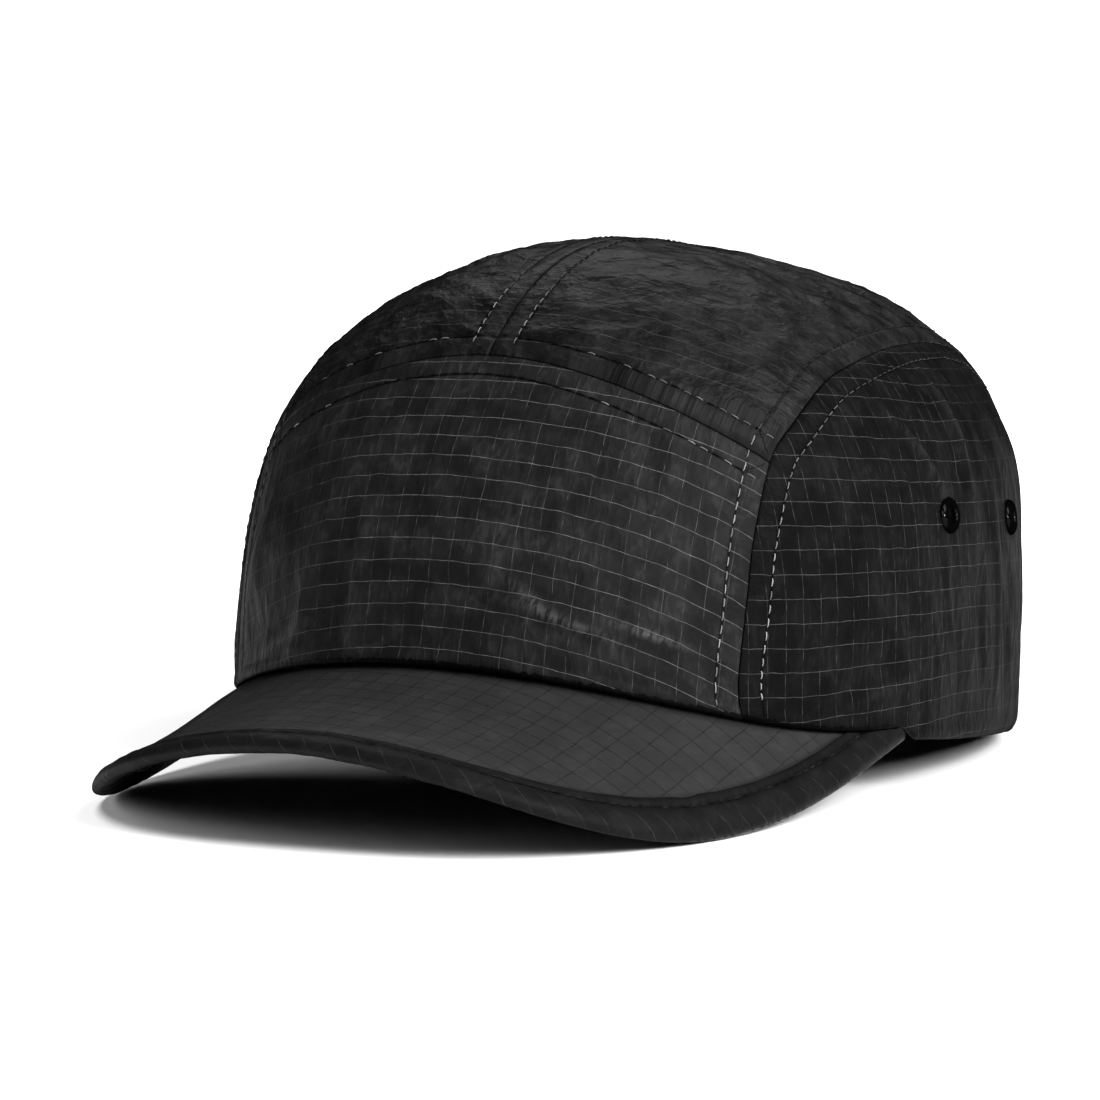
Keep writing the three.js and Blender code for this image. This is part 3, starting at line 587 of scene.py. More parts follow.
def make_mesh(name, points, faces, uv=None, values=None):
    """A mesh object from points in millimetres, with its UV map and named values for each point."""
    mesh = bpy.data.meshes.new(name)
    listed = faces if isinstance(faces, list) else faces.tolist()
    mesh.from_pydata((points.reshape(-1, 3) * MM).tolist(), [], listed)
    mesh.polygons.foreach_set("use_smooth", np.ones(len(mesh.polygons), bool))
    if uv is not None:
        corner = np.empty(len(mesh.loops), int)
        mesh.loops.foreach_get("vertex_index", corner)
        layer = mesh.uv_layers.new(name="cloth")
        layer.data.foreach_set("uv", (uv.reshape(-1, 2)[corner] / UV_SQUARES + 0.5).ravel())
    for key, value in (values or {}).items():
        mesh.attributes.new(key, "FLOAT", "POINT").data.foreach_set("value", value.ravel())
    mesh.update()
    piece = bpy.data.objects.new(name, mesh)
    bpy.context.scene.collection.objects.link(piece)
    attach(piece, "root")
    return piece


def closed_sheet(name, outer, inner, uv, values, flip=False):
    """Closes an outer and an inner grid of equal size along their four edges."""
    out = grid_index(outer)
    into = out + out.size
    rim = lambda a, b: np.stack([a[:-1], b[:-1], b[1:], a[1:]], -1)
    faces = np.concatenate([
        grid_faces(out), grid_faces(into, flip=True), rim(out[0], into[0]), rim(into[-1], out[-1]),
        rim(into[:, 0], out[:, 0]), rim(out[:, -1], into[:, -1])])
    if flip:
        faces = faces[:, ::-1]
    points = np.concatenate([outer.reshape(-1, 3), inner.reshape(-1, 3)])
    doubled = lambda grid: np.concatenate([grid.reshape(out.size, -1)] * 2)
    return make_mesh(name, points, faces, doubled(uv), {key: doubled(value) for key, value in values.items()})


# %% [markdown]
# ## Crown panels
# A panel is a surface between four edges. Blending the edges both ways and taking off the corners gives
# an even grid, which is then moved onto the crown and raised by the cloth's relief. A subdivided box
# could be pushed into this form too, but only a grid between the seam lines meets its neighbours exactly.
# Near the hem the thickness follows a round section, so the hem is a soft roll, and behind the peak the
# hem curls in a little, as it does on the real cap.

# %% Panel surface
HEM_ROLL_HEIGHT, HEM_SWELL = 3.4, 0.35
HEM_TUCK, HEM_TUCK_HEIGHT, HEM_TUCK_ANGLES = 1.3, 5, (80, 95)
HEM_ROWS = np.array([0, 0.08, 0.22, 0.45, 0.75, 1.1, 1.5, 1.9, 2.3, 2.8, 3.3])
GAP_REACH, PEAK_EDGE_ANGLES = 4.0, (66, 72)
SEAM_REACH, SEAM_NUMBER_STEP = 20.0, 200
EYELET_HOLE = (2.0, 2.6)
FAR = 99.0


def between_edges(bottom, top, left, right, u, v):
    """Bottom and top blended by v, plus left and right by u, less the four corners blended by both."""
    low, high = along(bottom, u)[None], along(top, u)[None]
    first, last = along(left, v)[:, None], along(right, v)[:, None]
    u, v = u[None, :, None], v[:, None, None]
    low_corners = (1 - u) * low[:, :1] + u * low[:, -1:]
    high_corners = (1 - u) * high[:, :1] + u * high[:, -1:]
    corners = (1 - v) * low_corners + v * high_corners
    return on_crown((1 - v) * low + v * high + (1 - u) * first + u * last - corners)


def seed_of(kind, side):
    """Each panel has creases of its own. Its stitches ask for the same ones, so that they lie on it."""
    return {"front": 3, "side": 11, "top": 17}[kind] + 20 * (side < 0)


def seams_round(kind, side):
    """The seams that a panel ends at, on its own side of the cap."""
    mirror = np.array([side, 1, 1])
    return {
        "front": [WHOLE_ARCH, WHOLE_ARCH * MIRROR, FRONT_SEAM],
        "side": [WHOLE_ARCH * mirror],
        "top": [WHOLE_ARCH * mirror, FRONT_SEAM, MIDDLE_SEAM, OPENING * mirror],
    }[kind]


def cloth_relief(p, kind, side):
    """Height of the cloth over the smooth crown, and what its material has to know at each point."""
    seed = seed_of(kind, side)
    sharp = 0.6 * top_fold_rise(p) if kind == "top" else 1.2 * fold_rise(p, CREASES)
    folds = fold_rise(p, FOLDS) + sharp
    crinkles = {"front": front_crinkles, "side": side_crinkles, "top": top_crinkles}[kind](p, seed)
    relief, seam_at, nearest = np.zeros(p.shape[:-1]), np.zeros(p.shape[:-1]), np.full(p.shape[:-1], FAR)
    for number, line in enumerate(seams_round(kind, side)):
        distance, at = nearest_on(line, p)
        relief = relief + seam_relief(distance, at, 40 + 7 * number + seed)
        seam_at = np.where(distance < nearest, at + SEAM_NUMBER_STEP * number, seam_at)
        nearest = np.minimum(nearest, distance)
    # Where two seams meet their reliefs add up, so the depth of the sum is limited and its crests lowered
    relief = np.maximum(relief, -1.1) - 0.42 * smooth(0.5, 1.0, relief)
    free = 0.35 + 0.65 * smooth(3, 10, nearest)
    rise = folds * smooth(0.5, 7, nearest) + crinkles * free * smooth(0.2, 2.5, nearest) + relief
    # Painted highlight on the crests of the finer creases; the top has none.
    crest_highlight = 0 * rise if kind == "top" else np.clip(fold_rise(p, CREST_HIGHLIGHTS), 0, 1)
    # Painted shade: the eyelets' holes are drawn dark on the sides, and the troughs of the top's creases are
    # darkened.
    shade = {
        "front": 0 * rise,
        "side": 1 - smooth(*EYELET_HOLE, from_eyelets(p)),
        "top": 0.45 * np.clip(-sharp, 0, 1) * smooth(4, 10, nearest),
    }[kind]
    seam_near = 1 - np.minimum(nearest, SEAM_REACH) / SEAM_REACH
    return rise, {"shade": shade, "seam_at": seam_at, "seam_near": seam_near, "crest_highlight": crest_highlight}


def lines_seen(kind, u, v):
    """How clearly the squares' lines across and up show, from how far round the panel they are."""
    if kind == "front":
        share = 0.3 + 0.7 * smooth(-48, -8, u)
        return share, 0.45 * share
    if kind == "side":
        share = 1 - 0.75 * smooth(48, 96, u)
        return share, 0.75 * share
    return 0.15 + 0.75 * (1 - smooth(14, 42, v)), 0 * u


def panel_grid(edges, lengths, side, has_hem):
    """Points of a panel on the smooth crown, with closer rows at the hem, and their distance from the hem."""
    u, v = graded(lengths[0]), graded(lengths[1])
    if has_hem:
        close = HEM_ROWS / lengths[1]
        v = np.concatenate([close, v[v > close[-1] + 0.3 / lengths[1]]])
    p = between_edges(*edges, u, v) * np.array([side, 1, 1])
    over_hem = np.linalg.norm(p - p[:1], axis=-1) if has_hem else np.full(p.shape[:-1], FAR)
    return p, over_hem


def hem_roll(over_hem):
    """Thickness that swells by sin(pi x share of the roll), and roundness sqrt(1 - t^2) at its lower edge."""
    roll = np.clip(0.25 + 0.75 * over_hem / HEM_ROLL_HEIGHT, 0, 1)
    thickness = CLOTH_THICKNESS + 2 * HEM_SWELL * np.sin(math.pi * roll)
    short_of_edge = np.clip(1 - over_hem / (CLOTH_THICKNESS / 2 + HEM_SWELL), 0, 1)
    return thickness, np.sqrt(np.clip(1 - short_of_edge ** 2, 0.004, 1))


def crown_panel(name, kind, edges, lengths, side, has_hem):
    """The outside and inside of one panel: the smooth crown, moved along its normal by the cloth's relief."""
    p, over_hem = panel_grid(edges, lengths, side, has_hem)
    normal = crown_normal(p)
    normal[..., 2] *= smooth(0, 3 * HEM_ROLL_HEIGHT, over_hem)
    normal = unit(normal)
    relief, values = cloth_relief(p, kind, side)
    thickness, roundness = hem_roll(over_hem)
    from_front = np.abs(np.degrees(crown_angle(p)))
    tuck = HEM_TUCK * (1 - smooth(0, HEM_TUCK_HEIGHT, over_hem)) ** 2 * smooth(*HEM_TUCK_ANGLES, from_front)
    rise = relief * smooth(0.0, 5, over_hem) + (thickness - CLOTH_THICKNESS) / 2 - tuck
    outer = p + normal * (rise - thickness / 2 * (1 - roundness))[..., None]
    inner = p + normal * (rise - thickness / 2 * (1 + roundness))[..., None]
    for edge, beside in ((0, 1), (-1, -2)):
        inner[:, edge] += 0.5 * unit(p[:, edge] - p[:, beside])
    inner[-1] += 0.5 * unit(p[-1] - p[-2])
    u, v = {"front": front_cloth, "side": side_cloth, "top": top_cloth}[kind](p)
    on_peak_edge = 1 - smooth(*PEAK_EDGE_ANGLES, from_front)
    # Painted shadow: the gap between the hem and the peak is drawn black, and painted shade darkens the hem's
    # lower edge over the peak.
    values["gap"] = np.clip(1 - over_hem / GAP_REACH, 0, 1) * on_peak_edge
    values["shade"] = values["shade"] + 0.6 * (1 - smooth(0.3, 3.0, over_hem)) * on_peak_edge
    values["lines_across"], values["lines_up"] = lines_seen(kind, u, v)
    outer, inner = on_floor(rested(outer)), on_floor(rested(inner))
    piece = closed_sheet(name, outer, inner, np.stack([u, v], -1) / SQUARE_SIZE, values, flip=side < 0)
    diagonals = np.cross(p[1:, 1:] - p[:-1, :-1], p[1:, :-1] - p[:-1, 1:])
    area = float(np.linalg.norm(diagonals, axis=-1).sum()) / 2
    print(name, "grid", p.shape[:2], "area", round(area / 100, 1), "cm2")
    return piece


# %% [markdown]
# ## The five panels
# The front panel stands between the two arches and the seam over the front. A side panel fills an arch.
# A top panel runs from the seam over the front along the middle seam and down to the opening at the back,
# so its fourth edge is that opening with a short length of hem. The right side mirrors the left.

# %% Five panels
PANEL_LENGTHS = {"front": (126, 70), "side": (165, 78), "top": (178, 70)}
front_foot = arch_line(0, ARCH_FOOT_END)
front_edges = (hem_line(-ARCH_SEAM[0, 0], ARCH_SEAM[0, 0]), FRONT_SEAM, front_foot * MIRROR, front_foot)
side_edges = (
    hem_line(ARCH_SEAM[0, 0], ARCH_SEAM[-1, 0]), arch_line(ARCH_FOOT_END, ARCH_BACK_START),
    front_foot, arch_line(ARCH_BACK_START, LAST_ROW)[::-1])
opening_and_hem = np.concatenate([OPENING[:-1], hem_line(OPENING_FOOT, ARCH_SEAM[-1, 0])])[::-1]
top_edges = (
    arch_line(ARCH_FOOT_END, LAST_ROW), MIDDLE_SEAM, front_seam_line(FRONT_SEAM_END, 0), opening_and_hem)
panels = {"front_panel": crown_panel(
    "front_panel_cloth", "front", front_edges, PANEL_LENGTHS["front"], 1, True)}
for word, side in (("left", 1), ("right", -1)):
    for kind, edges, has_hem in (("side", side_edges, True), ("top", top_edges, False)):
        node = f"{kind}_panel_{word}"
        panels[node] = crown_panel(node + "_cloth", kind, edges, PANEL_LENGTHS[kind], side, has_hem)

# %% [markdown]
# ## Stitches
# A stitch is a short piece of thread that comes up through the cloth, lies on it and goes down again.
# Drawing them in a material would look flat in a close view, so each one is a small closed tube, and all
# the tubes of a row are made at once as one array: stitch, ring along it, corner of the ring.

# %% Stitch rows
STITCH_RINGS = np.array([-0.5, -0.40, -0.18, 0.18, 0.40, 0.5])
RING_HEIGHTS = np.array([-0.40, 0.0, 0.12, 0.12, 0.0, -0.40])
RING_SIZES = np.array([0.4, 0.85, 1.0, 1.0, 0.85, 0.4])
THREAD_RADIUS, THREAD_FLATNESS, THREAD_LIFT = 0.145, 0.8, 0.07
RING_CORNERS = 6
STITCH_LENGTH = 2.15
STITCH_WANDER, STITCH_UNEVENNESS = 0.09, 0.28


def thread_tubes(centres, normals, tangents):
    """Rings about each centre: radius x (cos across the thread + flatness x sin outwards)."""
    across = unit(np.cross(normals, tangents))
    turn = np.linspace(0, 2 * math.pi, RING_CORNERS, endpoint=False)[:, None]
    size = (THREAD_RADIUS * RING_SIZES)[None, :, None, None]
    ring = across[:, :, None] * np.cos(turn) + THREAD_FLATNESS * normals[:, :, None] * np.sin(turn)
    return centres[:, :, None] + size * ring


def stitches_piece(name, rows):
    """One piece from several rows, each a pair of (stitch, ring, corner) points and brightness per stitch."""
    points = np.concatenate([row[0].reshape(-1, 3) for row in rows])
    thread_highlight = np.concatenate([np.repeat(row[1], len(STITCH_RINGS) * RING_CORNERS) for row in rows])
    count = len(points) // (len(STITCH_RINGS) * RING_CORNERS)
    index = np.arange(len(points)).reshape(count, len(STITCH_RINGS), RING_CORNERS)
    wrapped = np.concatenate([index, index[:, :, :1]], axis=2)
    sides = np.stack([wrapped[:, :-1, :-1], wrapped[:, :-1, 1:], wrapped[:, 1:, 1:], wrapped[:, 1:, :-1]], -1)
    faces = sides.reshape(-1, 4).tolist() + index[:, 0, ::-1].tolist() + index[:, -1].tolist()
    piece = make_mesh(name, points, faces, values={"thread": thread_highlight})
    print(name, count, "stitches")
    return piece


def beside_seam(line, at, offset):
    """Points beside a seam: its own point, moved across it along the crown by the offset."""
    share = at / lengths_along(line)[-1]
    here = along(line, share)
    tangent = unit(along(line, np.clip(share + 0.002, 0, 1)) - along(line, np.clip(share - 0.002, 0, 1)))
    return on_crown(here + offset * unit(np.cross(crown_normal(here), tangent)))


def crown_row(line, offset, panel_at, start, end, thread_highlight, seed):
    """Stitches beside a crown seam. panel_at says which panel each lies on, from its place along the seam."""
    first = np.arange(math.ceil(start / STITCH_PITCH), math.floor(end / STITCH_PITCH))
    middle = (first + 0.5) * STITCH_PITCH
    at = middle[:, None] + STITCH_RINGS * STITCH_LENGTH
    p = beside_seam(line, at.ravel(), offset).reshape(*at.shape, 3)
    normal = crown_normal(p)
    rise = np.zeros(at.shape)
    for kind, side, chosen in panel_at(middle, p):
        if chosen.any():
            rise[chosen] = cloth_relief(p[chosen], kind, side)[0]
    rise = rise.mean(axis=1, keepdims=True) * 0.5 + rise * 0.5
    jitter = np.random.default_rng(seed).normal(0, 1, (len(middle), 3))
    centres = p + normal * (rise + RING_HEIGHTS + THREAD_LIFT)[..., None]
    sideways = unit(np.cross(normal, p[:, -1:] - p[:, :1]))
    centres += STITCH_WANDER * jitter[:, None, :1] * sideways * STITCH_RINGS[None, :, None]
    tangents = unit(np.gradient(centres, axis=1))
    # The thread's painted highlight, a little uneven from stitch to stitch.
    shine = np.clip(thread_highlight(middle) * (1 + STITCH_UNEVENNESS * jitter[:, 1]), 0.0, 1.2)
    return rested(thread_tubes(centres, normal, tangents)), shine


# %% [markdown]
# ## Rows along the seams
# The real seams are pressed open and stitched down on both sides, so each seam has two rows. The thread
# looks light where it faces the light, most of all on the left arch near the peak, and nearly black
# elsewhere.
# So each row has a painted highlight of its own, a brightness which changes along its length and stands in
# for that light and shade.

# %% Rows beside each seam of the crown
ARCH_LENGTH, FRONT_LENGTH, MIDDLE_LENGTH, OPENING_LENGTH = (
    lengths_along(line)[-1] for line in (WHOLE_ARCH, FRONT_SEAM, MIDDLE_SEAM, OPENING))
FOOT_LENGTH = lengths_along(WHOLE_ARCH)[int(round(ARCH_FOOT_END / LAST_ROW * (LINE_STEPS - 1)))]
# The right side's thread is in shade, so its painted highlight is weaker.
RIGHT_SIDE_HIGHLIGHT = 0.35
OPENING_THREAD = 0.4


def side_seam_stitches(word, side):
    """One row on the front panel and on along the top panel, and one on the side panel."""
    arch = WHOLE_ARCH * np.array([side, 1, 1])
    # Painted highlights: on the front row bright over the front panel and fading past the arch's foot, and on
    # the side row fading along the arch.
    seen = 1.0 if side > 0 else RIGHT_SIDE_HIGHLIGHT
    outside = lambda middle, p: [("front", 1, middle < FOOT_LENGTH), ("top", side, middle >= FOOT_LENGTH)]
    inside = lambda middle, p: [("side", side, middle >= 0)]
    highlight_fading = lambda at: seen * (0.60 - 0.56 * smooth(FOOT_LENGTH - 4, FOOT_LENGTH + 8, at))
    light = lambda at: seen * (0.66 - 0.58 * smooth(20, 104, at))
    return stitches_piece(f"stitches_side_seam_{word}", [
        crown_row(arch, side * STITCH_OFFSET, outside, 0.6, ARCH_LENGTH - 3, highlight_fading, 5),
        crown_row(arch, -side * STITCH_OFFSET, inside, 0.6, ARCH_LENGTH - 3, light, 6)])


def on_tops(middle, p):
    """Stitches on the top panels, shared out by the side of the cap that they are on."""
    left = p[:, 2, 0] >= 0
    return [("top", 1, left), ("top", -1, ~left)]


def on_front(middle, p):
    return [("front", 1, middle >= 0)]


def patchy_highlights(low, high, seed):
    """Mostly dark thread, with a painted highlight on a stitch here and there, more of them towards the left
    end.
    """
    picks = np.random.default_rng(seed).uniform(0, 1, 400)
    share_light = lambda at: 0.12 + 0.5 * smooth(90, 125, at)
    return lambda at: low + (high - low) * (picks[(at / STITCH_PITCH).astype(int)] < share_light(at))


# Painted highlight on the middle seam's thread, light near the front and dark over the top.
def nearer_front(at):
    return 0.38 - 0.34 * smooth(12, 40, at)


def opening_thread(at):
    return OPENING_THREAD + 0 * at


thread_pieces = [side_seam_stitches("left", 1), side_seam_stitches("right", -1)]
thread_pieces.append(stitches_piece("stitches_front_seam", [
    crown_row(FRONT_SEAM, STITCH_OFFSET, on_tops, 0.5, FRONT_LENGTH - 0.5, patchy_highlights(0.0, 0.28, 70), 7),
    crown_row(FRONT_SEAM, -STITCH_OFFSET, on_front, 0.5, FRONT_LENGTH - 0.5, patchy_highlights(0.0, 0.34, 71), 8)]))
thread_pieces.append(stitches_piece("stitches_middle_seam", [
    crown_row(MIDDLE_SEAM, STITCH_OFFSET * 0.93, on_tops, 0.2, MIDDLE_LENGTH - 1, nearer_front, 9),
    crown_row(MIDDLE_SEAM, -STITCH_OFFSET * 0.93, on_tops, 0.2, MIDDLE_LENGTH - 1, nearer_front, 10)]))
thread_pieces.append(stitches_piece("stitches_opening", [
    crown_row(OPENING, -STITCH_OFFSET, on_tops, 1, OPENING_LENGTH - 3, opening_thread, 12),
    crown_row(OPENING * MIRROR, STITCH_OFFSET, on_tops, 1, OPENING_LENGTH - 3, opening_thread, 13)]))

# %% [markdown]
# ## Eyelets
# A pressed eyelet is a metal ring with a domed flange outside, a neck through the cloth and a flatter
# flange inside. It's a profile turned about its axis, which points along the crown's normal. A torus
# would be too round for a pressed flange. The cloth runs on behind each ring, and the shade that is
# stored with it draws the hole dark.

# %% Four eyelets
# Columns: radius, and height over the cloth
EYELET_PROFILE = np.array([
    (1.75, -2.3), (1.75, 0.55), (1.82, 0.85), (2.05, 1.1), (2.4, 1.25), (2.8, 1.22), (3.25, 1.02),
    (3.62, 0.68), (3.86, 0.25), (3.9, -0.05), (3.75, -0.25), (3.2, -0.3), (2.45, -0.3), (2.45, -1.7),
    (3.3, -1.75), (3.9, -1.8), (4.0, -2.05), (3.8, -2.3), (2.9, -2.45), (2.1, -2.45)])
EYELET_SPREAD, EYELET_SINK, EYELET_SPOKES = 1.05, 0.15, 48


def eyelet_piece(name, spot, side):
    """Point = place + radius x (cos x first side axis + sin x second side axis) + height x normal."""
    place = crown_point(*[np.array([value]) for value in spot])[0] * np.array([side, 1, 1])
    normal = crown_normal(place[None])[0]
    place = place + normal * (fold_rise(place[None], FOLDS)[0] - EYELET_SINK)
    first = unit(np.cross(normal, [0, 0, 1.0]))
    second = np.cross(normal, first)
    turn = np.linspace(0, 2 * math.pi, EYELET_SPOKES, endpoint=False)[:, None]
    spokes = np.cos(turn) * first + np.sin(turn) * second
    radius, height = EYELET_SPREAD * EYELET_PROFILE[None, :, :1], EYELET_PROFILE[None, :, 1:]
    points = place + radius * spokes[:, None] + height * normal
    index = grid_index(points, close_rows=True, close_columns=True)
    return make_mesh(name, rested(points), grid_faces(index, flip=True))


eyelets = {}
for word, side in (("left", 1), ("right", -1)):
    for place, spot in EYELETS.items():
        eyelets[f"eyelet_{word}_{place}"] = eyelet_piece(f"eyelet_{word}_{place}_ring", spot, side)
print("eyelets:", len(eyelets))

# %% [markdown]
# ## Peak and its binding
# The peak is a stiff blade between two layers of the same cloth. Its edge is covered by a strip folded
# round it, with one row of stitches. Both follow the outline of the peak, so they're made from places
# along the outline and distances in from it. The strip narrows towards both tails, as in the photo.

# %% Outline of the peak
OUTLINE_STEPS, OUTLINE_REACH = 6001, 0.004
BINDING_NARROWING, NARROWING_SHARES = 0.36, (0.58, 0.97)


def outline(shares):
    """A superellipse from the right tail round the front to the left tail, at even distances."""
    depth = PEAK_REACH - PEAK_END
    tail = ((PEAK_TAIL - PEAK_END) / depth) ** (PEAK_SQUARENESS / 2)
    turn = np.linspace(1, -1, OUTLINE_STEPS) * math.acos(tail)
    x = -PEAK_HALF_WIDTH * np.sign(np.sin(turn)) * np.abs(np.sin(turn)) ** (2 / PEAK_SQUARENESS)
    y = -PEAK_END - depth * np.cos(turn) ** (2 / PEAK_SQUARENESS)
    line = np.stack([x, y, 0 * x], -1)
    ahead, behind = (along(line, np.clip(shares + step, 0, 1)) for step in (OUTLINE_REACH, -OUTLINE_REACH))
    tangent = unit(ahead - behind)
    inward = np.stack([-tangent[:, 1], tangent[:, 0], 0 * shares], -1)
    return along(line, shares), inward, lengths_along(line)[-1]


def on_peak(place, inward, distance, height):
    """Peak's middle surface at a distance in from the outline, raised along its normal."""
    flat = place + inward * distance[..., None]
    x, y = flat[..., 0], flat[..., 1]
    return peak_middle(x, y) + peak_normal(x, y) * height[..., None]


def binding_share(shares):
    """Width of the binding as a share of its width at the front: it narrows towards both tails."""
    return 1 - BINDING_NARROWING * smooth(*NARROWING_SHARES, np.maximum(shares, 1 - shares))


# %% [markdown]
# ## Cloth of the peak
# The cloth is drawn tight over the blade, so it shows only a faint ripple, and under the binding it's
# pressed thinner. A grid runs from the rim in to the crown, with closer rows where the binding ends. The
# threads over the peak aren't straight seen from above: they follow the bend, and the lines across bow.

# %% Peak cloth
PEAK_COLUMNS, PEAK_ROWS = 300, 70
PEAK_ROOT_ANGLE, ROOT_INSET, ROOT_INSET_BEHIND, ROOT_INSET_ANGLES = 68, 2.8, 9.7, (46, 66)
ROWS_UNDER_BINDING = np.array([1.6, 4.0, 7.0, 8.6, 9.2, 9.6, 10.1, 10.8])
COVERED_HALF_THICKNESS, COVER_END = 1.05, (8.2, 10.4)
BEND_AS_CIRCLE, PEAK_SQUARE_SIZE, LINES_BOW = 118.0, 5.15, 0.00175
PEAK_LINES_ACROSS_FROM, PEAK_LINES_UP_FROM = 45.5, 110.7

shares = np.linspace(0, 1, PEAK_COLUMNS)
rim, rim_inward, rim_length = outline(shares)
root_angle = -PEAK_ROOT_ANGLE + 2 * PEAK_ROOT_ANGLE * shares
root = crown_point(root_angle, 0 * shares)
root_inset = ROOT_INSET + ROOT_INSET_BEHIND * smooth(*ROOT_INSET_ANGLES, np.abs(root_angle))
root *= (1 - root_inset / np.linalg.norm(root[:, :2], axis=1))[:, None]
narrowed = binding_share(shares)
covered = rim[None] + rim_inward[None] * (ROWS_UNDER_BINDING[:, None] * narrowed)[..., None]
inner_share = np.linspace(0, 1, PEAK_ROWS)[1:, None, None]
flat = np.concatenate([covered, covered[-1] * (1 - inner_share) + root * inner_share])
flat_x, flat_y = flat[..., 0], flat[..., 1]
from_rim = np.linalg.norm(flat - rim[None], axis=-1) / narrowed
half = COVERED_HALF_THICKNESS + (PEAK_HALF_THICKNESS - COVERED_HALF_THICKNESS) * smooth(*COVER_END, from_rim)
ripple = crinkled([(noise, 0, 0.10, 9, 7, 0), (noise, 0, 0.05, 3, 3.5, 1)], flat_x, flat_y, 71)
ripple = ripple * smooth(9, 14, from_rim)
middle, up = peak_middle(flat_x, flat_y), peak_normal(flat_x, flat_y)
peak_u = BEND_AS_CIRCLE * np.arcsin(np.clip(flat_x / BEND_AS_CIRCLE, -1, 1)) - PEAK_LINES_ACROSS_FROM
peak_v = flat_y + PEAK_LINES_UP_FROM - LINES_BOW * peak_u ** 2
# Painted shade: a dark line where the binding's edge steps down onto the cloth, and a dark band under the
# crown's hem.
painted_shade_at_fold = 0.55 * bell(from_rim - 9.6, 0.7)
painted_shade_under_hem = 0.8 * (1 - smooth(0.5, 5.0, np.linalg.norm(flat - root[None], axis=-1)))
peak_values = {
    "shade": np.clip(painted_shade_at_fold + painted_shade_under_hem, 0, 1),
    "lines_across": 1 + 0 * peak_u,
    "lines_up": 0.8 + 0 * peak_u}
peak_cloth = closed_sheet(
    "peak_cloth", rested(middle + up * (half + ripple)[..., None]), rested(middle - up * half[..., None]),
    np.stack([peak_u, peak_v], -1) / PEAK_SQUARE_SIZE, peak_values)
print("peak cloth grid", flat.shape[:2], "rim", round(float(rim_length)), "mm")

# %% [markdown]
# ## Binding
# The binding is a strip cut slanting to the threads, folded round the rim and sewn through both layers.
# Its section is a list of points that is carried round the outline. Curve objects can do that as well,
# but then the wrinkles, and the way the stitches pull it in, couldn't be worked out point by point.

# %% Binding round the edge of the peak
# Columns: distance in from the rim, and height over the peak's middle surface
BINDING_TOP = np.array([
    (9.4, 1.50), (9.45, 1.75), (9.2, 1.92), (8.6, 1.98), (7.9, 1.9), (7.4, 1.72), (7.0, 1.60),
    (6.6, 1.74), (6.0, 1.94), (5.0, 2.05), (3.8, 2.05), (2.7, 1.95), (1.8, 1.72), (1.0, 1.36),
    (0.4, 0.86), (0.08, 0.36), (0.0, 0.0)])
BINDING_INSIDE = np.array([
    (9.2, -1.45), (5.0, -1.3), (1.6, -1.2), (1.1, 0.0), (1.6, 1.2), (5.0, 1.3), (9.2, 1.45)])
BINDING_STITCH_AT = 7.0
BINDING_COLUMNS, BINDING_THREADS_TURN = 560, -38
TAIL_SLANT, TAIL_SLANT_SHARE = 2.4, 0.985

strip = np.concatenate([BINDING_TOP, BINDING_TOP[-2::-1] * [1, -1], BINDING_INSIDE])
strip_place, strip_inward, _ = outline(np.linspace(0, 1, BINDING_COLUMNS))
strip_at = np.linspace(0, rim_length, BINDING_COLUMNS)[None]
strip_shares = strip_at / rim_length
distance, height = strip[:, :1] + 0 * strip_at, strip[:, 1:] + 0 * strip_at
is_cover = (np.arange(len(strip)) < 2 * len(BINDING_TOP) - 1)[:, None]
wrinkle = 0.16 * noise((strip_at + 1.2 * distance) / 3.4, distance / 5, 81)
wrinkle = wrinkle + 0.13 * noise(strip_at / 9, distance / 6, 82)
wrinkle = wrinkle * smooth(0.1, 2.0, distance) * (1 - smooth(8.4, 9.3, distance)) * is_cover
needle = 0.5 + 0.5 * np.cos(2 * math.pi * strip_at / STITCH_PITCH)
pull = -STITCH_PULL * needle * bell(distance - BINDING_STITCH_AT, STITCH_PULL_WIDTH) * is_cover
height = height + np.sign(height) * (wrinkle + pull)
edge_wave = 0.22 * noise(strip_at / 5.5, 0 * strip_at, 83) * smooth(8.0, 9.2, distance)
strip_width = binding_share(strip_shares)
strip_points = on_peak(strip_place[None], strip_inward[None], distance * strip_width + edge_wave, height)
at_tails = smooth(TAIL_SLANT_SHARE, 1, strip_shares) - smooth(TAIL_SLANT_SHARE, 1, 1 - strip_shares)
slant = TAIL_SLANT * (1 - smooth(0, 6, distance)) * at_tails
strip_points += slant[..., None] * unit(np.gradient(strip_points, axis=1))
strip_points = on_floor(rested(strip_points))
folded = lengths_along(strip)[:, None]
strip_u, strip_v = turned(strip_at + 0 * folded, folded * strip_width, BINDING_THREADS_TURN)
# Painted shade along the stitch line and over the strip's inner band, and a painted highlight along the rim's
# lower edge towards the left tail.
strip_values = {
    "shade": 0.6 * bell(distance - BINDING_STITCH_AT, 0.45) + 0.18 * smooth(7.1, 7.6, distance),
    "crest_highlight": bell(height + 0.7, 0.6) * (distance < 1.2) * is_cover * smooth(0.74, 0.86, strip_shares),
    "lines_across": 0.1 + 0 * strip_u,
    "lines_up": 0.8 * smooth(1.5, 3.5, BINDING_STITCH_AT - distance) + 0 * strip_u}
strip_ends = grid_index(strip_points)
strip_faces = grid_faces(grid_index(strip_points, close_rows=True)).tolist()
strip_faces += [strip_ends[::-1, 0].tolist(), strip_ends[:, -1].tolist()]
strip_uv = np.stack([strip_u, strip_v], -1) / SQUARE_SIZE
binding = make_mesh("peak_binding_strip", strip_points, strip_faces, strip_uv, strip_values)
print("binding", strip_points.shape[:2])

# %% [markdown]
# ## Stitches on the binding
# One row goes through the strip, the peak and the strip again, so it shows above and below. The thread is
# as black as the cloth here, and its stitches show as small bumps.

# %% Stitches on the binding
BINDING_STITCH_HEIGHT, BINDING_STITCH_RISE, BINDING_THREAD = 1.58, 0.8, 0.02


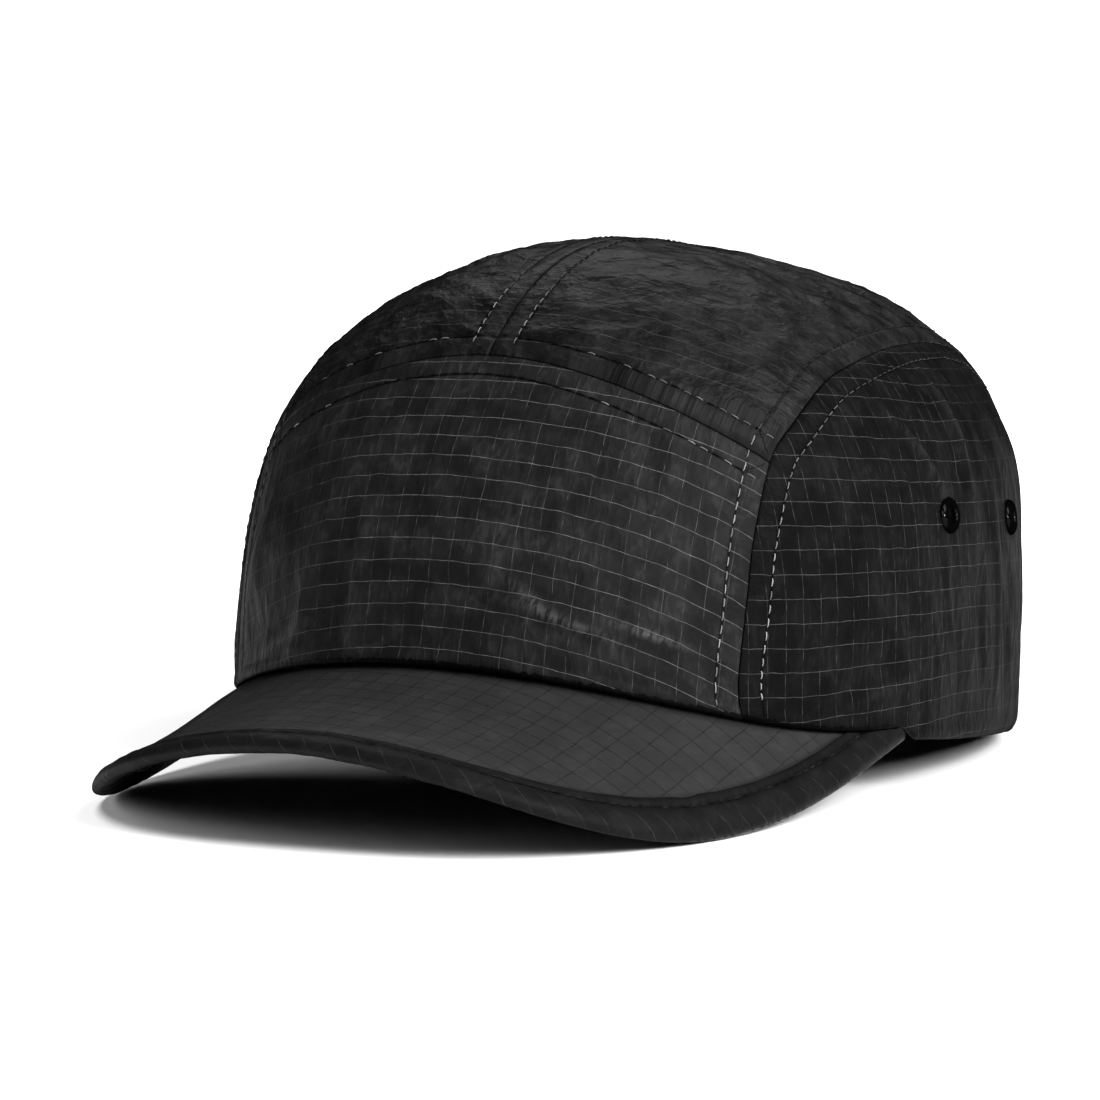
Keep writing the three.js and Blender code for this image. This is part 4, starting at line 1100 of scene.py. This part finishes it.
def binding_row(sign, seed):
    """Stitches above (1) or below (-1) the peak, at an even distance along its outline."""
    count = int(rim_length / STITCH_PITCH) - 1
    centre_at = (np.arange(count) + 1.0) * STITCH_PITCH
    at = centre_at[:, None] + STITCH_RINGS * STITCH_LENGTH
    place, inward, _ = outline(at.ravel() / rim_length)
    place, inward = place.reshape(*at.shape, 3), inward.reshape(*at.shape, 3)
    height = sign * (BINDING_STITCH_HEIGHT + RING_HEIGHTS * BINDING_STITCH_RISE)
    stitch_in = BINDING_STITCH_AT * binding_share(at / rim_length)
    centres = on_peak(place, inward, stitch_in, height + 0 * at)
    flat_place = place + inward * stitch_in[..., None]
    normals = sign * peak_normal(flat_place[..., 0], flat_place[..., 1])
    jitter = np.random.default_rng(seed).normal(0, 1, count)
    tubes = thread_tubes(centres, normals, unit(np.gradient(centres, axis=1)))
    return rested(tubes), np.clip(BINDING_THREAD * (1 + jitter), 0.0, 0.3)


thread_pieces.append(stitches_piece("stitches_peak_binding", [binding_row(1, 21), binding_row(-1, 22)]))

# %% [markdown]
# ## Strap and slide
# The back isn't in the photo. Caps of this kind have a flat woven strap across a half-moon opening, with
# a plain slide. The strap is a flat section with rounded edges, carried along the inside of the hem.

# %% Back strap
STRAP_WIDTH, STRAP_THICKNESS, STRAP_LIFT, STRAP_END, STRAP_INSET = 20.0, 1.4, 2.5, 147.0, 3.6
STRAP_POINTS, STRAP_SQUARENESS, SECTION_POINTS = 160, 9, 40


def carried(section_points, path, across_axis, up_axis, closed):
    """A section of (across, up) points, placed at each point of a path along two axes given there."""
    across, up = section_points[None, :, :1], section_points[None, :, 1:]
    points = path[:, None] + across * across_axis[:, None] + up * up_axis[:, None]
    faces = grid_faces(grid_index(points, close_rows=closed, close_columns=True)).tolist()
    if not closed:
        ends = grid_index(points)
        faces += [ends[0].tolist(), ends[-1, ::-1].tolist()]
    return points, faces


def rounded_bar(half_across, half_up, squareness, count):
    """A superellipse section: across^n + up^n = 1, walked round by angle."""
    turn = np.linspace(0, 2 * math.pi, count, endpoint=False)
    shape = lambda c: np.sign(c) * np.abs(c) ** (2 / squareness)
    return np.stack([half_across * shape(np.cos(turn)), half_up * shape(np.sin(turn))], -1)


strap_angles = np.linspace(STRAP_END, 360 - STRAP_END, STRAP_POINTS)
foot_line = crown_point(strap_angles, 0 * strap_angles)
forward = unit(np.gradient(foot_line, axis=0))
outward = np.stack([forward[:, 1], -forward[:, 0], 0 * forward[:, 0]], -1)
outward *= np.sign((outward * foot_line).sum(-1, keepdims=True))
strap_path = foot_line - STRAP_INSET * outward
over_table = STRAP_LIFT + STRAP_WIDTH / 2 + (strap_path[:, 1] - BACK_REACH) * math.sin(REST_TILT)
strap_path[:, 2] = over_table / math.cos(REST_TILT)
upright = np.array([0, math.sin(REST_TILT), math.cos(REST_TILT)])
strap_section = rounded_bar(STRAP_THICKNESS / 2, STRAP_WIDTH / 2, STRAP_SQUARENESS, SECTION_POINTS)
strap_points, strap_faces = carried(
    strap_section, strap_path, outward, np.tile(upright, (STRAP_POINTS, 1)), False)
strap_at = lengths_along(strap_path)[:, None] + 0 * strap_section[None, :, 0]
strap_uv = np.stack([strap_at, strap_section[None, :, 1] + 0 * strap_at], -1) / SQUARE_SIZE
strap = make_mesh("back_strap_webbing", rested(strap_points), strap_faces, strap_uv)
print("strap", round(float(strap_at.max())), "mm long")

# %% [markdown]
# ## Slide
# The slide is a plain flat bar bent into a loop that the strap runs through. It's the same function as
# for the strap, with a closed path round the strap and a section that is wide along it.

# %% Slide on the strap
SLIDE_HALF_LENGTH, SLIDE_BAR, SLIDE_SQUARENESS = 7.8, 1.35, 6
LOOP_HALF_DEPTH, LOOP_MARGIN, LOOP_SQUARENESS, LOOP_POINTS = 1.9, 1.15, 5, 96
loop = rounded_bar(LOOP_HALF_DEPTH, STRAP_WIDTH / 2 + LOOP_MARGIN, LOOP_SQUARENESS, LOOP_POINTS)
loop_path = strap_path[STRAP_POINTS // 2] + loop[:, :1] * np.array([0, 1.0, 0]) + loop[:, 1:] * upright
loop_forward = unit(np.roll(loop_path, -1, axis=0) - np.roll(loop_path, 1, axis=0))
sideways = np.tile([1.0, 0, 0], (LOOP_POINTS, 1))
slide_section = rounded_bar(SLIDE_HALF_LENGTH, SLIDE_BAR / 2, SLIDE_SQUARENESS, SECTION_POINTS)
loop_outward = np.cross(loop_forward, sideways)
slide_points, slide_faces = carried(slide_section, loop_path, sideways, loop_outward, True)
slide = make_mesh("strap_slide_loop", rested(slide_points), slide_faces)
print("slide", round(2 * SLIDE_HALF_LENGTH, 1), "mm long")

# %% [markdown]
# ## Materials
# Every colour, weave and sheen is made of nodes, because an image would blur in a close view. Short
# functions keep the node trees readable. The first adds a node, and takes its inputs as values or as the
# outputs of other nodes. The others each add one common kind of node with it.

# %% Helpers for materials
def add(tree, kind, inputs=None, **settings):
    """Adds a node of the kind, with its settings and inputs."""
    node = tree.nodes.new("ShaderNode" + kind)
    for key, value in settings.items():
        setattr(node, key, value)
    for key, value in (inputs or {}).items():
        if isinstance(value, bpy.types.NodeSocket):
            tree.links.new(value, node.inputs[key])
        else:
            node.inputs[key].default_value = value
    return node


def result_of(tree, operation, *values):
    """Result of a Math node."""
    return add(tree, "Math", dict(enumerate(values)), operation=operation).outputs[0]


def product(tree, a, b):
    return result_of(tree, "MULTIPLY", a, b)


def ranged(tree, value, low, high, to_low=0.0, to_high=1.0):
    """Maps low..high to to_low..to_high by a smooth step."""
    inputs = {"Value": value, "From Min": low, "From Max": high, "To Min": to_low, "To Max": to_high}
    return add(tree, "MapRange", inputs, interpolation_type="SMOOTHSTEP").outputs["Result"]


def mixed(tree, factor, a, b):
    """Colour a where the factor is 0 and colour b where it's 1. Sockets 6 and 7 are the node's colours."""
    return add(tree, "Mix", {"Factor": factor, 6: a, 7: b}, data_type="RGBA").outputs[2]


def value_of(tree, name):
    """A value that is stored with the piece's points."""
    return add(tree, "Attribute", attribute_name=name).outputs["Fac"]


def noise_of(tree, place, scale, detail, **inputs):
    """Noise Texture at a place, 0 to 1."""
    return add(tree, "TexNoise", {"Vector": place, "Scale": scale, "Detail": detail, **inputs}).outputs["Fac"]


def grey(value):
    return (value, value, value, 1.0)


def plain_material(name, colour, roughness, **inputs):
    """A material with its node tree and its shader, ready for more nodes."""
    material = bpy.data.materials.new(name)
    material.use_nodes = True
    shader = material.node_tree.nodes["Principled BSDF"]
    shader.inputs["Base Color"].default_value = colour
    shader.inputs["Roughness"].default_value = roughness
    for key, value in inputs.items():
        shader.inputs[key.replace("_", " ")].default_value = value
    return material, material.node_tree, shader


def gloss_by_angle(tree, shader, gloss, low, high):
    """Gloss seen straight on that fades at a slant. The input keeps the plain value for exported files."""
    facing = add(tree, "LayerWeight", {"Blend": 0.5}).outputs["Facing"]
    shader.inputs["Specular IOR Level"].default_value = gloss
    tree.links.new(ranged(tree, facing, low, high, gloss, 0.0), shader.inputs["Specular IOR Level"])


def raise_surface(tree, shader, height, distance, strength):
    """Small heights as bump, a change of the surface's normal only."""
    bump = add(tree, "Bump", {"Height": height, "Distance": distance, "Strength": strength}).outputs[0]
    tree.links.new(bump, shader.inputs["Normal"])


# %% [markdown]
# ## Ripstop
# The cloth is thin coated nylon. Its colour is nearly black, with cloudy patches and the thin grey lines of
# its thicker threads. Painted highlights lighten the crests of creases and crinkles, and painted shade
# darkens the seams, the stitch lines, the gap under the hem and other shaded places. All of that is drawn on
# the cloth's own squares, so it follows the cloth and not the world. The material of each kind of panel comes
# from one function, so that they stay alike. Its arguments differ: each kind of panel is a lit or shaded copy
# of the same cloth, with its own base grey, line grey and gloss for how the light falls on it.

# %% Parts of the cloth's material
SWAY = 0.16


def cloth_squares(tree):
    """The UV map counted in squares again."""
    place = add(tree, "UVMap", uv_map="cloth").outputs[0]
    inputs = {0: place, 1: (UV_SQUARES,) * 3, 2: (-UV_SQUARES / 2,) * 3}
    return add(tree, "VectorMath", inputs, operation="MULTIPLY_ADD").outputs[0]


def stretched(tree, squares, degrees, across, lengthways):
    """The cloth's squares turned by an angle and scaled, so that noise on them gives creases one way."""
    inputs = {"Vector": squares, "Angle": math.radians(degrees)}
    turn = add(tree, "VectorRotate", inputs, rotation_type="Z_AXIS").outputs[0]
    scaled = add(tree, "VectorMath", {0: turn, 1: (across, lengthways, 1.0)}, operation="MULTIPLY")
    return scaled.outputs[0]


def creases(tree, squares, degrees, across, lengthways, detail):
    """Ridged noise on the squares: sharp crests that run lengthways, 0 to about 2."""
    inputs = {
        "Vector": stretched(tree, squares, degrees, across, lengthways), "Scale": 1.0, "Detail": detail,
        "Roughness": 0.55, "Offset": 1.0, "Gain": 1.4, "Distortion": 0.35}
    return add(tree, "TexNoise", inputs, noise_type="RIDGED_MULTIFRACTAL", normalize=False).outputs["Fac"]


def square_lines(tree, squares, line_width, least):
    """1 on the thicker threads at every whole square both ways. They sway a little and fade in places."""
    sway = add(tree, "TexNoise", {"Vector": squares, "Scale": 0.9, "Detail": 2.0}).outputs["Color"]
    swayed = add(tree, "VectorMath", {0: sway, 1: (SWAY,) * 3, 2: squares}, operation="MULTIPLY_ADD")
    parts = add(tree, "SeparateXYZ", {0: swayed.outputs[0]})
    broken = noise_of(tree, squares, 1.9, 3.0)
    threads = []
    for axis, strength, seen in (("X", "lines_up", least[0]), ("Y", "lines_across", least[1])):
        away = result_of(tree, "PINGPONG", parts.outputs[axis], 0.5)
        thread = ranged(tree, away, line_width * 0.3, line_width * 1.5, 1.0, 0.0)
        thread = product(tree, thread, ranged(tree, broken, 0.40, 0.64, seen, 1.0))
        threads.append(product(tree, thread, value_of(tree, strength)))
    return result_of(tree, "MAXIMUM", *threads)


def from_seam(tree):
    """Distance from the nearest seam, and length along it, with a step for each further seam."""
    away = result_of(tree, "SUBTRACT", 1.0, value_of(tree, "seam_near"))
    return product(tree, away, SEAM_REACH), value_of(tree, "seam_at")


def painted_shade(tree, squares, far):
    """Painted shade: 1 in a seam's join, along its stitches, at the hem's gap over the peak, and where shade
    is stored.
    """
    needle_line = result_of(tree, "ABSOLUTE", result_of(tree, "SUBTRACT", far, STITCH_OFFSET))
    needle_line = product(tree, ranged(tree, needle_line, 0.10, 0.50, 1.0, 0.0), 0.75)
    join = result_of(tree, "MAXIMUM", ranged(tree, far, 0.08, 0.30, 1.0, 0.0), needle_line)
    # The painted shadow in the gap under the hem has a ragged edge.
    frayed_shadow_edge = noise_of(tree, squares, 3.4, 4.0, Roughness=0.6)
    gap = ranged(tree, result_of(tree, "MULTIPLY_ADD", frayed_shadow_edge, 0.5, value_of(tree, "gap")), 0.84, 0.91)
    return result_of(tree, "MAXIMUM", result_of(tree, "MAXIMUM", join, gap), value_of(tree, "shade"))


def seam_puckers(tree, far, at):
    """Small puckers between a seam and its stitches, full at the panel's first seam and faint at others."""
    beside = add(tree, "CombineXYZ", {
        0: result_of(tree, "DIVIDE", at, 1.5), 1: result_of(tree, "DIVIDE", far, 4.5)}).outputs[0]
    near = product(tree, ranged(tree, far, 0.5, 2.0), ranged(tree, far, 4.4, 6.4, 1.0, 0.0))
    near = product(tree, near, ranged(tree, at, SEAM_NUMBER_STEP - 3, SEAM_NUMBER_STEP, 1.0, 0.3))
    return product(tree, noise_of(tree, beside, 1.0, 2.0), near)


# %% Ripstop cloth
# The black of painted shade, and how many times lighter than the cloth the painted sheen on crinkle crests
# is.
SHADE_BLACK, CREST_SHEEN = 0.0002, 3.0


def ripstop(name, cloth, line, line_width, crease_turn, crease_height, roughness=0.5, gloss=0.04, crest_sheen=0.5,
            patch=0.25, least=(0.1, 0.5), slender=0.36, highlight_to=5.5):
    """Cloth and line are shades of grey, line_width is in squares, and crease_height is in millimetres."""
    material, tree, shader = plain_material(name, grey(cloth), roughness)
    squares = cloth_squares(tree)
    far, at = from_seam(tree)
    drawn = square_lines(tree, squares, line_width, least)
    broad, fine, tiny = (
        creases(tree, squares, crease_turn + turn, size, size * slender, detail)
        for turn, size, detail in ((0, 0.55, 2.0), (9, 1.7, 2.0), (-7, 4.2, 1.0)))

    patches = noise_of(tree, squares, 0.5, 4.0, Roughness=0.6)
    # Painted sheen: where the fine crinkles crest, in some patches, the cloth is drawn lighter.
    crests = product(tree, ranged(tree, fine, 1.0, 1.7), ranged(tree, patches, 0.42, 0.66))
    # Painted highlight on the crests of creases, broken into short streaks.
    highlight_streaks = noise_of(tree, stretched(tree, squares, 18, 5.0, 1.3), 1.0, 3.0)
    painted_crest_highlight = product(tree, value_of(tree, "crest_highlight"), ranged(tree, highlight_streaks, 0.36, 0.60))
    cloudy = ranged(tree, patches, 0.36, 0.64)
    colour = mixed(tree, cloudy, grey(cloth * (1 - patch)), grey(cloth * (1 + patch)))
    for where, shade in (
            (product(tree, crests, crest_sheen), cloth * CREST_SHEEN), (painted_crest_highlight, cloth * highlight_to), (drawn, line),
            (product(tree, painted_shade(tree, squares, far), 0.97), SHADE_BLACK)):
        colour = mixed(tree, where, colour, grey(shade))
    tree.links.new(colour, shader.inputs["Base Color"])

    height = product(tree, broad, crease_height)
    weave = noise_of(tree, squares, 14.0, 2.0)
    for pattern, rise in (
            (fine, crease_height * 0.40), (tiny, crease_height * 0.14), (weave, 0.02), (drawn, 0.04),
            (seam_puckers(tree, far, at), 0.40)):
        height = result_of(tree, "MULTIPLY_ADD", pattern, rise, height)
    raise_surface(tree, shader, height, MM, 1.0)
    gloss_by_angle(tree, shader, gloss, 0.62, 0.95)
    return material


# Lit and shaded copies of one cloth: painted shade makes the sides and the binding darker than the front,
# painted light makes the peak lighter, and the peak's lines are drawn darker than its cloth where the panels'
# lines are lighter.
FRONT_CLOTH = ripstop("ripstop_front", 0.0112, 0.130, 0.014, -8, 0.16)
SIDE_CLOTH = ripstop("ripstop_side", 0.0042, 0.062, 0.014, -8, 0.16, gloss=0.02)
TOP_CLOTH = ripstop(
    "ripstop_top", 0.0080, 0.060, 0.014, 50, 0.24, roughness=0.45, gloss=0.05, patch=0.5, slender=0.85)
PEAK_CLOTH = ripstop(
    "peak_cloth", 0.0225, 0.006, 0.026, 20, 0.04, gloss=0.09, crest_sheen=0.1, patch=0.07, least=(0.6, 0.6))
# The binding's painted rim highlight is drawn far lighter than its cloth.
BINDING_TAPE = ripstop(
    "binding_tape", 0.0068, 0.045, 0.013, 90, 0.10, crest_sheen=0.2, patch=0.15, least=(0.3, 0.0), highlight_to=95)
cloth_of_kind = {"front": FRONT_CLOTH, "side": SIDE_CLOTH, "top": TOP_CLOTH}
for node, piece in panels.items():
    piece.data.materials.append(cloth_of_kind[node.split("_")[0]])
peak_cloth.data.materials.append(PEAK_CLOTH)
binding.data.materials.append(BINDING_TAPE)

# %% [markdown]
# ## Thread, enamel, webbing and plastic
# The thread's colour is mixed from the painted highlight stored with each stitch, from black to a light grey.
# The eyelets have a smooth black enamel that only shines where it faces the camera. The webbing's ribs are a
# wave along the strap, and the slide is plain black plastic.

# %% Thread
# The thread's dark grey, and the light grey where its painted highlight is full.
THREAD_DARK, THREAD_GREY_AND_HIGHLIGHT = 0.0015, 0.36
THREAD, tree, shader = plain_material("thread", grey(0.2), 0.7, Specular_IOR_Level=0.04)
painted_highlight = value_of(tree, "thread")
tree.links.new(mixed(tree, painted_highlight, grey(THREAD_DARK), grey(THREAD_GREY_AND_HIGHLIGHT)), shader.inputs["Base Color"])
for piece in thread_pieces:
    piece.data.materials.append(THREAD)

# %% Enamel
ENAMEL, tree, shader = plain_material("eyelet_enamel", grey(0.0008), 0.09)
gloss_by_angle(tree, shader, 0.06, 0.10, 0.24)
for piece in eyelets.values():
    piece.data.materials.append(ENAMEL)

# %% Webbing and plastic
RIBS_IN_UV, RIB_HEIGHT = 190.0, 0.4 * MM
WEBBING, tree, shader = plain_material("strap_webbing", grey(0.011), 0.6)
place = add(tree, "UVMap", uv_map="cloth").outputs[0]
ribs = add(tree, "TexWave", {"Vector": place, "Scale": RIBS_IN_UV, "Distortion": 0.4}, bands_direction="X")
raise_surface(tree, shader, ribs.outputs["Fac"], RIB_HEIGHT, 0.8)
strap.data.materials.append(WEBBING)

PLASTIC, _, _ = plain_material("slide_plastic", grey(0.009), 0.38)
slide.data.materials.append(PLASTIC)

# %% [markdown]
# ## Hiding the imported solids
# Each piece but the stitches stands for one imported solid, which is hidden, so that only the new piece
# shows.

# %% Which solid each piece replaces
for node, piece in panels.items():
    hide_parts(node)
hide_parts("peak")
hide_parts("peak_binding")
for node, piece in eyelets.items():
    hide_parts(node)
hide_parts("back_strap")
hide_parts("strap_slide")

# %% [markdown]
# ## Camera
# The photo was taken with a long lens, a little above the cap and well round to its left front. The turn,
# the rise and the lens are the ones for which the seams and the outline fall where the photo has them.

# %% Camera
CAMERA_TURN, CAMERA_RISE = math.radians(27.616), math.radians(6.415)
CAMERA_DISTANCE, CAMERA_LENS, SENSOR_WIDTH = 1348.2, 194.1, 36
CAMERA_TARGET = np.array([0, FOOTPRINT_SHIFT, 60.0])
CAMERA_RIGHT, CAMERA_UP = -19.33, -13.62
right = np.array([math.cos(CAMERA_TURN), math.sin(CAMERA_TURN), 0])
level_back = np.array([math.sin(CAMERA_TURN), -math.cos(CAMERA_TURN), 0])
back = level_back * math.cos(CAMERA_RISE) + [0, 0, math.sin(CAMERA_RISE)]
upward = np.cross(back, right)
camera = bpy.data.objects.new("camera", bpy.data.cameras.new("camera"))
bpy.context.scene.collection.objects.link(camera)
camera.data.lens, camera.data.sensor_width = CAMERA_LENS, SENSOR_WIDTH
camera.data.clip_start, camera.data.clip_end = 0.05, 60
camera.location = (CAMERA_TARGET + back * CAMERA_DISTANCE + right * CAMERA_RIGHT + upward * CAMERA_UP) * MM
camera.rotation_euler = (math.pi / 2 - CAMERA_RISE, 0, CAMERA_TURN)
bpy.context.scene.camera = camera

# %% [markdown]
# ## Floor
# The cap lies on white paper that has no edge in the photo. A large plane takes the shadow, and a glow
# that only starts well away from the cap turns it into plain white behind.

# %% Floor
FLOOR_HALF = 16.0
GLOW, GLOW_ROUND, GLOW_BEHIND = 1.1, (1.1, 2.0), (0.25, 0.60)
floor_mesh = bpy.data.meshes.new("floor")
corners = [(x * FLOOR_HALF, y * FLOOR_HALF, 0) for x, y in ((-1, -1), (1, -1), (1, 1), (-1, 1))]
floor_mesh.from_pydata(corners, [], [(0, 1, 2, 3)])
floor = bpy.data.objects.new("floor", floor_mesh)
bpy.context.scene.collection.objects.link(floor)
PAPER, tree, shader = plain_material("white_floor", grey(0.56), 0.9, Specular_IOR_Level=0.0)
where = add(tree, "TexCoord").outputs["Object"]
from_cap = add(tree, "VectorMath", {0: where}, operation="LENGTH").outputs["Value"]
behind_cap = add(tree, "SeparateXYZ", {0: where}).outputs["Y"]
glow = result_of(tree, "MAXIMUM", ranged(tree, from_cap, *GLOW_ROUND), ranged(tree, behind_cap, *GLOW_BEHIND))
shader.inputs["Emission Color"].default_value = grey(1.0)
tree.links.new(product(tree, glow, GLOW), shader.inputs["Emission Strength"])
floor_mesh.materials.append(PAPER)

# %% [markdown]
# ## Light
# A large soft lamp over the wearer's left side is the main light, on the cap and the floor. The other
# lamps reach only the cap, only the eyelets or only the floor, by light linking. That way the soft edge
# of the shadow and the patch of light under the peak can be set without changing the cap.

# %% Light
# Columns: name, place, size, power, and what it lights
LAMPS = (
    ("key", (0.95, -0.05, 0.98), (1.0, 0.9), 31, None),
    ("behind", (-0.4, 0.9, 0.95), (0.7, 0.7), 3.4, "cap"),
    ("front", (0.75, -1.25, 0.65), (0.6, 0.6), 10, "cap"),
    ("glint", (1.2, -0.64, 0.30), (0.07, 0.24), 22, "rings"),
    ("floor_right", (1.6, 0.1, 0.9), (1.2, 0.8), 75, "floor"),
    ("floor_left", (-1.5, -0.3, 0.38), (1.2, 0.6), 28, "floor"),
    ("floor_over", (-0.45, -0.25, 1.4), (1.0, 0.7), 30, "floor"),
    ("floor_under", (-1.4, 0.60, 0.34), (0.4, 0.2), 13, "floor"))
LAMP_TARGET = (0, 0, 0.03)
WORLD_STRENGTH = 0.02


def soft_light(name, place, target, size, power):
    """A rectangular lamp at a place, turned to look at the target."""
    lamp = bpy.data.lights.new(name, "AREA")
    lamp.shape, lamp.size, lamp.size_y, lamp.energy = "RECTANGLE", *size, power
    light = bpy.data.objects.new(name, lamp)
    light.location = place
    toward = np.array(target) - np.array(place)
    tilt = math.atan2(math.hypot(*toward[:2]), -toward[2])
    light.rotation_euler = (tilt, 0, math.atan2(toward[0], -toward[1]) + math.pi)
    bpy.context.scene.collection.objects.link(light)
    return light


whole_cap = (*panels.values(), *eyelets.values(), *thread_pieces, peak_cloth, binding, strap, slide)
lit = {}
for word, pieces in (("floor", (floor,)), ("cap", whole_cap), ("rings", tuple(eyelets.values()))):
    lit[word] = bpy.data.collections.new("lit_" + word)
    for piece in pieces:
        lit[word].objects.link(piece)
for name, place, size, power, word in LAMPS:
    light = soft_light(name, place, LAMP_TARGET, size, power)
    if word is not None:
        light.light_linking.receiver_collection = lit[word]
world = bpy.data.worlds.new("studio")
world.use_nodes = True
background = world.node_tree.nodes["Background"]
background.inputs["Color"].default_value = grey(1.0)
background.inputs["Strength"].default_value = WORLD_STRENGTH
bpy.context.scene.world = world
bpy.context.scene.view_settings.view_transform = "Standard"
print("lamps:", len(LAMPS))
